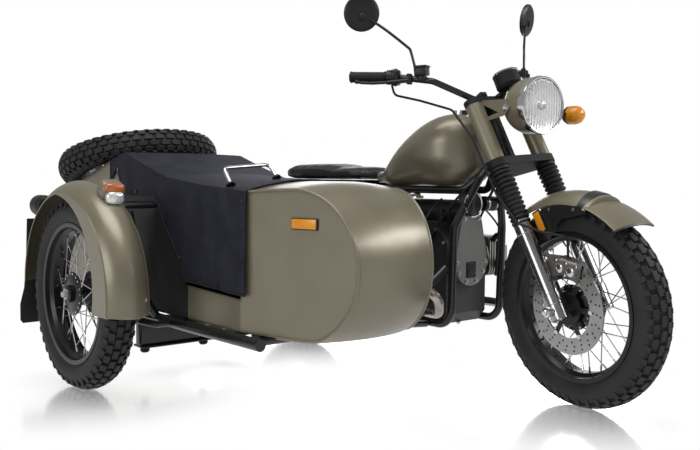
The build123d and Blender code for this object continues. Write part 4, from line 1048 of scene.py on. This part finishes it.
# Passenger's seat in the tub: a squab and a leaning back of foam in black vinyl.
# Both are crowned, drawn in between their corners, and have two channels sewn across.
def cushion(size, place, pull=0.035, thin=0.55, channels=(0.33, -0.33)):
    """Crowned pad: flat below, domed on top, its sides drawn in, stuffed, then sewn along its channels."""
    bm = bmesh.new()
    bmesh.ops.create_cube(bm, size=2)
    bmesh.ops.subdivide_edges(bm, edges=bm.edges, cuts=27, use_grid_fill=True)
    long, wide, thick = [extent / 2 for extent in size]
    for v in bm.verts:
        u, w, t = v.co
        dome = max(0.0, (1 - u * u) * (1 - w * w)) ** 0.30
        top = thin + (1 - thin) * dome
        waist = 1 - 0.045 * t * t
        v.co = (long * u * (1 - pull * (1 - w * w)) * waist, wide * w * (1 - pull * (1 - u * u)) * waist,
                thick * ((t + 1) * top - 1))
    bmesh.ops.smooth_vert(bm, verts=bm.verts, factor=0.5, use_axis_x=True, use_axis_y=True, use_axis_z=True)
    bm = filled(bm, 0.010)
    for v in bm.verts:
        share = min(1.0, max(0.0, v.co.z / thick + 0.2))
        v.co.z -= 0.07 * thick * share * sum(groove(v.co.x / long - line, 0.035) for line in channels)
    bmesh.ops.transform(bm, matrix=place, verts=bm.verts)
    return bm


squab_place = Matrix.Translation(spot(397, tub_middle, 322)) @ turned(-2, "Y")
squab = finished("squab_cushion", cushion((0.400, 0.392, 0.132), squab_place), vinyl, "root", "seat_vinyl",
                 "sidecar_seat", sharp=70)
back_place = Matrix.Translation(spot(142, tub_middle, 560)) @ turned(84, "Y")
back_rest = finished("back_cushion", cushion((0.420, 0.350, 0.072), back_place), vinyl, "root", "seat_vinyl",
                     sharp=70)


# Sidecar tub: pressed steel with a crowned nose; its near side wall beside the wheel is painted near-black as
# painted shade.
# A welded bead runs along each edge where the flat side meets the crown.
# Near-black colour, roughness and metal of the painted shade on the tub's near side, 40 to 512 mm ahead of
# the rear axle.
painted_shade_black = ((0.003, 0.003, 0.0025), 0.85, 0.0)
tub_half = 250
tub_side = spot(0, tub_middle - tub_half + 6, 0).y
dress(two_tone("tub_painted_shade", tub_paint, painted_shade_black,
               (("X", -1, spot(512, 0, 0).x), ("X", 1, spot(40, 0, 0).x), ("Y", -1, tub_side))),
               "sidecar_body")
nose_start, nose_taper = 830, 0.2427
nose_seam = (
    # ahead, up
    (838, 682.5), (926, 688.3), (1022, 694.0), (1061.2, 692.8), (1098.1, 685.2), (1133.3, 671.6),
    (1165.7, 652.3), (1194.4, 628.0), (1218.7, 599.3), (1237.9, 567.0), (1251.7, 532.0), (1259.5, 495.2),
    (1261.2, 457.7), (1257.5, 424.0), (1248.8, 391.3), (1234.9, 359.0), (1216.2, 329.2), (1193.9, 303.6),
    (1168.1, 281.5), (1139.3, 263.5), (1108.1, 250.0), (972, 250.0),
)
for side, hand in (("right", 1), ("left", -1)):
    seam = []
    for ahead, up in nose_seam:
        half = tub_half - nose_taper * (ahead - nose_start)
        seam.append(spot(ahead, tub_middle - hand * half, up))
    wire(f"nose_seam_{side}", seam, 0.0045, olive_paint, "root")


# Sidecar and rear fenders: pressed steel with a rolled bead along each edge, painted olive.
# The sidecar fender's inner side is painted near-black as painted shade, and bolts fix the fenders to their
# stays.
wheel_middle = -1129
side_hub = spot(225, wheel_middle, 328)
# Past this line, on the fender's inner side, the olive turns near-black: painted shade.
fender_shade_limit = spot(0, wheel_middle + 74, 0).y
dress(two_tone("fender_painted_shade", olive_paint, ((0.012, 0.012, 0.013), 0.3, 0.0), (("Y", 1, fender_shade_limit),)),
      "sidecar_fender")


def on_fender(turn, across, lift=0.0):
    """Point on the sidecar fender: degrees about the hub, millimetres left of the wheel's middle."""
    reach = (384 - 42 * (across / 72) ** 2 + lift) / 1000
    return side_hub + Vector((reach * cos(radians(turn)), across / 1000, reach * sin(radians(turn))))


for across in (-72, 72):
    bead = [on_fender(-6 + 184 * k / 40, across, -0.5) for k in range(41)]
    wire(f"sidecar_fender_bead_{'left' if across > 0 else 'right'}", bead, 0.0024, olive_paint, "root")
wire("sidecar_fender_lip", [on_fender(-6, across, 0) for across in range(-72, 73, 12)], 0.0022, olive_paint,
     "root")
for side, hand in left_and_right:
    bead = round_hub(wheels["rear"][0], 0.334, hand * 0.0795, 35, 188, 30)
    wire(f"rear_fender_bead_{side}", bead, 0.0024, olive_paint, "root")
bm = bmesh.new()
bolt(bm, on_fender(2, 45, 0.5), Vector((1, 0, 0)), 0.010)
for turn in (100, 112, 150):
    for hand in (1, -1):
        way = Vector((cos(radians(turn)), 0, sin(radians(turn))))
        bolt(bm, rear_hub + way * 0.362 + Vector((0, hand * 0.050, 0)), way + Vector((0, hand * 0.5, 0)),
             0.010)
finished("fender_fixings", bm, bolt_steel, "root", "bare_steel")


# Lamps of the sidecar and the bike's rear lamp: the marker on the fender's front shoulder has an olive base
# with amber glass above clear glass. The tail lamp and the rear lamp are red glass in black cups.
# The amber side reflector is screwed to the tub's nose in a black frame.
def hugging(bm, made):
    """Lifts what lies inside the fender's skin out onto it."""
    for v in made:
        gap = v.co - side_hub
        across = max(-72.0, min(72.0, gap.y * 1000))
        reach = (384.6 - 42 * (across / 72) ** 2) / 1000
        flat = sqrt(gap.x ** 2 + gap.z ** 2)
        if flat < reach:
            v.co = side_hub + Vector((gap.x * reach / flat, gap.y, gap.z * reach / flat))


def pebble(bm, size, place, square):
    """Rounded block between a ball and a box."""
    made = bmesh.ops.create_uvsphere(bm, u_segments=28, v_segments=14, radius=1)["verts"]
    for v in made:
        v.co = [extent / 2 * abs(value) ** square * (1 if value > 0 else -1) for extent,
                value in zip(size, v.co)]
    bmesh.ops.transform(bm, matrix=place, verts=made)
    return made


clear_lens = surface("clear_lens", (0.72, 0.73, 0.72), 0.10, metal=0.55, coat=0.8, grain=0.3, grain_size=150,
                     tint=0.12)
red_lens = surface("red_lens", (0.42, 0.012, 0.008), 0.14, coat=0.8, grain=0.3, grain_size=200, tint=0.15)
marker_at = Matrix.Translation(spot(425, -1115, 676)) @ turned(34, "Y")
bm = bmesh.new()
hugging(bm, pebble(bm, (0.062, 0.078, 0.062), marker_at @ moved(-0.010, 0, 0.000), 0.55))
finished("marker_base", bm, olive_paint, "root", "olive_paint")
marker_amber = surface("marker_amber", (0.34, 0.085, 0.018), 0.12, coat=0.8, grain=0.3, grain_size=150,
                       tint=0.25)
bm = bmesh.new()
hugging(bm, pebble(bm, (0.036, 0.068, 0.034), Matrix.Translation(spot(442, -1115, 688)), 0.6))
finished("marker_amber_glass", bm, marker_amber, "root", "amber_lens", "sidecar_lamps")
bm = bmesh.new()
hugging(bm, pebble(bm, (0.034, 0.060, 0.042), Matrix.Translation(spot(447, -1115, 657)), 0.6))
finished("marker_clear_glass", bm, clear_lens, "root", "clear_glass")

tail_place = facing(spot(-112, -1150, 618), Vector((-1, 0, 0)))
bm = bmesh.new()
made = lathe(bm, [(0, -0.082), (0.0300, -0.081), (0.0360, -0.074), (0.0380, -0.060), (0.0380, -0.012),
                  (0.0365, -0.010), (0.0350, -0.012)], 36, tail_place)
hugging(bm, made)
finished("tail_cup", bm, black_plastic, "root", "black_plastic")
bm = bmesh.new()
lathe(bm, [(0.0350, -0.014), (0.0350, -0.006), (0.0320, -0.002), (0.0200, 0.0002), (0, 0.0006)], 36,
      tail_place)
finished("tail_glass", bm, red_lens, "root", "red_lens")

panel_place = (Matrix.Translation(spot(1075, -825.5, 594)) @ Matrix.Rotation(atan2(0.2428, 1), 4, "Z")
               @ turned(90, "X"))
bm = bmesh.new()
block(bm, (0.090, 0.029, 0.0085), panel_place @ moved(0, 0, 0.0052), 0.003)
finished("side_reflector", bm, amber, "root", "amber_lens")
bm = bmesh.new()
block(bm, (0.096, 0.034, 0.006), panel_place @ moved(0, 0, 0.0033), 0.002)
finished("reflector_frame", bm, black_plastic, "root", "black_plastic")

rear_place = facing(spot(-402, 0, 500), Vector((-1, 0, 0)))
bm = bmesh.new()
lathe(bm, [(0, 0.0006), (0.0220, 0), (0.0335, -0.003), (0.0360, -0.008), (0.0360, -0.020)], 36, rear_place)
finished("rear_glass", bm, red_lens, "root", "red_lens", "rear_lamp")
bm = bmesh.new()
lathe(bm, [(0.0360, -0.012), (0.0380, -0.014), (0.0380, -0.048), (0.0330, -0.058), (0.0200, -0.064),
           (0, -0.066)], 36,
      rear_place)
finished("rear_cup", bm, black_plastic, "root", "black_plastic")


# Mud flap: rubber sheet with rounded corners, narrower where it is bolted behind the fender.
# Three bolts hold it.
bm = bmesh.new()
outline = [(-0.047, 0.567), (-0.052, 0.400), (-0.060, 0.310), (-0.075, 0.250), (-0.075, 0.190),
           (-0.066, 0.178), (0.066, 0.178), (0.075, 0.190), (0.075, 0.250), (0.066, 0.330), (0.062, 0.567)]
flap_x = spot(225 - 384 - 0.3 - 4, 0, 0).x
face = bm.faces.new([bm.verts.new((flap_x, side_hub.y + across, up)) for across, up in outline])
pushed = bmesh.ops.extrude_face_region(bm, geom=[face])
front_skin = [v for v in pushed["geom"] if isinstance(v, bmesh.types.BMVert)]
bmesh.ops.translate(bm, vec=(0.0042, 0, 0), verts=front_skin)
edges = [edge for edge in bm.edges if abs(edge.verts[0].co.x - edge.verts[1].co.x) < 0.0001]
rounded(bm, edges, 0.0012, 2)
finished("flap_sheet", bm, black_rubber, "root", "black_rubber", "mud_flap")
bm = bmesh.new()
for across in (-0.036, 0, 0.036):
    bolt(bm, Vector((flap_x, side_hub.y + across, 0.545)), Vector((-1, 0, 0)), 0.009)
finished("flap_bolts", bm, bolt_steel, "root", "bare_steel")


# Cockpit cover: one coated cloth, stretched over the opening and hanging down both sides.
# Its hem is bound, and it is held by press studs along the tub.
cloth = surface("cover_cloth", (0.015, 0.015, 0.026), 0.64, patch=0.12, patch_size=14, grain=0.35,
                grain_size=850, tint=0.30, sheen=0.22)
cover_half = 254.3
cover_rear, cover_long, far_low = 2, 859, 620
cover_rows = (
    # place along the bike, height at the edge, crown
    (2, 806, 3), (60, 815, 4), (215, 768, 8), (370, 726, 14), (600, 702, 26), (861, 686.3, 35),
)
hem_rows = ((2, 770), (25, 660), (285, 660), (520, 380), (861, 366))


def straight(table, x):
    """Value at a place on a line of straight stretches."""
    for before, after in zip(table, table[1:]):
        if x <= after[0]:
            share = (x - before[0]) / (after[0] - before[0])
            return [a + (b - a) * share for a, b in zip(before[1:], after[1:])]
    return list(table[-1][1:])


def cover_rings():
    """Lines of points across the cover, from the near hem over the top to the far hem."""
    rings = []
    for k in range(87):
        x = cover_rear + cover_long * k / 86
        edge, crown = straight(cover_rows, x)
        hem = straight(hem_rows, x)[0]
        ring = []
        for j in range(34):
            share = 1 - j / 34
            z = hem + (edge - 5 - hem) * (1 - share)
            hang = min(1.0, share * 1.6) * min(1.0, (edge - hem) / 160)
            wave = noise.noise(Vector((x / 62, z / 300, 1.7))) + 0.6 * sin(x / 21 + z / 190)
            slack = noise.noise(Vector((x / 150 + z / 260, z / 120, 5.1)))
            out = hang * (3.4 + 4.2 * wave + 3.2 * slack)
            ring.append(spot(x, tub_middle - cover_half - max(0.0, out), z))
        for j in range(33):
            share = -1 + 2 * j / 32
            bow = 1 - share * share
            pull = noise.noise(Vector((x / 120, share * 2.2, 9.3))) * 3.0
            pull += noise.noise(Vector((x / 48, share * 5, 2.2)))
            ripple = max(0.0, pull) * min(1.0, 4 * bow) * min(1.0, (x - cover_rear) / 60)
            ring.append(spot(x, tub_middle + share * (cover_half - 1.2), edge + crown * bow + ripple))
        for j in range(10):
            z = edge - 5 - (edge - 5 - far_low) * j / 9
            out = j / 9 * max(0.0, 2.0 + 2.6 * noise.noise(Vector((x / 70, z / 260, 7.7))))
            ring.append(spot(x, tub_middle + cover_half + out, z))
        rings.append(ring)
    return rings


def tail_line(k):
    """Place, hem and top edge of the strip over the trunk's front edge, at the k-th of its lines."""
    x = -62 + 12.8 * k
    return x, 770 - 60 * (1 - k / 5), 800 + 0.279 * (x - 2)


rings = cover_rings()
tail = []
for k in range(5):
    x, hem, top = tail_line(k)
    tail.append([spot(x, tub_middle - cover_half - 1.0, hem + (top - hem) * j / 33) for j in range(34)])
bm = bmesh.new()
lines = [[bm.verts.new(point) for point in ring] for ring in rings]
strip = [[bm.verts.new(point) for point in row] for row in tail] + [lines[0][:34]]
for sheet_lines in (strip, lines):
    for one, other in zip(sheet_lines, sheet_lines[1:]):
        for k in range(len(one) - 1):
            bm.faces.new((one[k], one[k + 1], other[k + 1], other[k]))
cover = finished("cockpit_cloth", bm, cloth, "root", "cover_cloth", "tonneau_cover", sharp=60)
backing = cover.modifiers.new("thickness", "SOLIDIFY")
backing.thickness = 0.0018
backing.offset = -1.0
near_hem = [ring[0] for ring in rings]
far_hem = [ring[-1] for ring in rings]
rear_hem = [point - Vector((0, 0, 0.0032)) for point in rings[0][34:]]
tail_hem = [row[0] for row in tail] + [rings[0][0]]
tail_top = [row[-1] for row in tail] + [rings[0][33]]
for label, line in (("near", near_hem), ("far", far_hem), ("front", rings[-1]), ("rear", rear_hem),
                    ("tail", tail_hem), ("tail_top", tail_top), ("tail_end", [tail_hem[0], tail_top[0]])):
    wire(f"cover_hem_{label}", line, 0.0026, cloth, "root", smooth=False)
bm = bmesh.new()
for x, z in ((846, 400), (846, 490), (846, 580), (846, 655), (700, 384), (600, 388), (540, 394), (470, 458),
             (400, 540), (330, 624), (240, 672), (150, 672), (60, 672)):
    lathe(bm, [(0, 0.0030), (0.0040, 0.0028), (0.0062, 0.0016), (0.0066, -0.0010)], 14,
          facing(spot(x, tub_middle - cover_half - 1.5, z), Vector((0, -1, 0))))
studs = finished("cover_studs", bm, black_paint, "root", "black_paint")


# Rail bolts: four zinc-plated steel bolts on top of the sidecar frame's rails.
# They hold the tub down, two in front of the wheel and two behind it.
bm = bmesh.new()
for ahead, across in ((720, -400), (720, -870), (-120, -400), (-120, -870)):
    bolt(bm, spot(ahead, across, 246), Vector((0, 0, 1)), 0.014)
finished("rail_bolts", bm, bolt_steel, "root", "bare_steel")


# Sidecar frame's rear cross-member: a deep pressed channel with a foot flange, painted black.
# It is welded up under both rails, and rubber bushes are bolted below it.
bm = bmesh.new()
block(bm, (0.044, 0.562, 0.104), Matrix.Translation(spot(200, -631, 163)), 0.010, 3)
block(bm, (0.076, 0.562, 0.009), Matrix.Translation(spot(200, -631, 112)), 0.004, 2)
finished("cross_member", bm, black_paint, "root", "black_paint")
bm = bmesh.new()
for across in (-884, -640, -400):
    lathe(bm, [(0, 0.020), (0.012, 0.020), (0.017, 0.014), (0.017, 0.004), (0.013, -0.002), (0, -0.002)], 24,
          facing(spot(200, across, 108), Vector((0, 0, -1))))
finished("cross_member_bushes", bm, black_rubber, "root", "black_rubber")


# Wiring loom and coil: black sleeved cables from the steering head down the frame's tubes, clipped to them.
# The coil is a black can in two steel straps beside the downtubes.
for number, line in enumerate((
    [(1080, 34, 742), (1066, 60, 700), (1050, 72, 640), (1046, 74, 560), (1044, 74, 470), (1036, 72, 380)],
    [(1070, -28, 742), (1030, -36, 706), (990, -30, 672), (950, -14, 660), (900, 10, 657)],
    [(1078, 20, 742), (1054, 34, 690), (1020, 30, 640), (985, 18, 612), (950, 6, 606)],
    [(1074, 44, 742), (1030, 66, 700), (985, 84, 650), (940, 98, 590), (905, 108, 540), (880, 112, 500)],
    [(1072, -44, 742), (1020, -70, 700), (975, -86, 650), (930, -98, 590), (900, -108, 545),
     (884, -112, 505)],
)):
    wire(f"loom_{number}", [spot(*point) for point in line], 0.0042, black_rubber, "root")
bm = bmesh.new()
rod(bm, spot(1012, 18, 640), spot(1012, 92, 640), 0.026, 32)
rod(bm, spot(1012, 92, 640), spot(1012, 104, 640), 0.010, 16)
finished("coil_can", bm, black_plastic, "root", "black_plastic")
bm = bmesh.new()
for across in (34, 76):
    rod(bm, spot(1012, across - 4, 640), spot(1012, across + 4, 640), 0.0272, 32)
finished("coil_straps", bm, bolt_steel, "root", "bare_steel")


# Hand hoop: bright steel tube whose feet stand in round rubber pads on the cover.
# The tube keeps its modelled shape; the pads are added here.
bm = bmesh.new()
for across, up in ((-866, 703.4), (-690, 726.8)):
    lathe(bm, [(0.0062, 0.0075), (0.0120, 0.0065), (0.0150, 0.0025), (0.0150, -0.002)], 24,
          facing(spot(744, across, up - 1), spot(702, across, up + 50) - spot(745, across, up)))
finished("hoop_pads", bm, black_rubber, "root", "black_rubber")


# Wheel nuts: the large nut that holds the spare on the trunk lid, and the nuts of the rear and sidecar axles.
# The axles stand still, so their nuts stay with the frame when the wheels turn.
bm = bmesh.new()
lathe(bm, [(0.0085, 0.014), (0.0165, 0.014), (0.0190, 0.011), (0.0190, 0.0005), (0.0085, 0.0005)], 6,
      lid_place @ moved(0, 0, 0.0590))
finished("spare_nut", bm, bright_metal, "trunk_lid", "bare_steel")
bm = bmesh.new()
bolt(bm, spot(225, wheel_middle - 58, 328), Vector((0, -1, 0)), 0.024)
for hand in (1, -1):
    bolt(bm, spot(0, hand * 66, 328), Vector((0, hand, 0)), 0.024)
finished("axle_nuts", bm, bolt_steel, "root", "bare_steel")
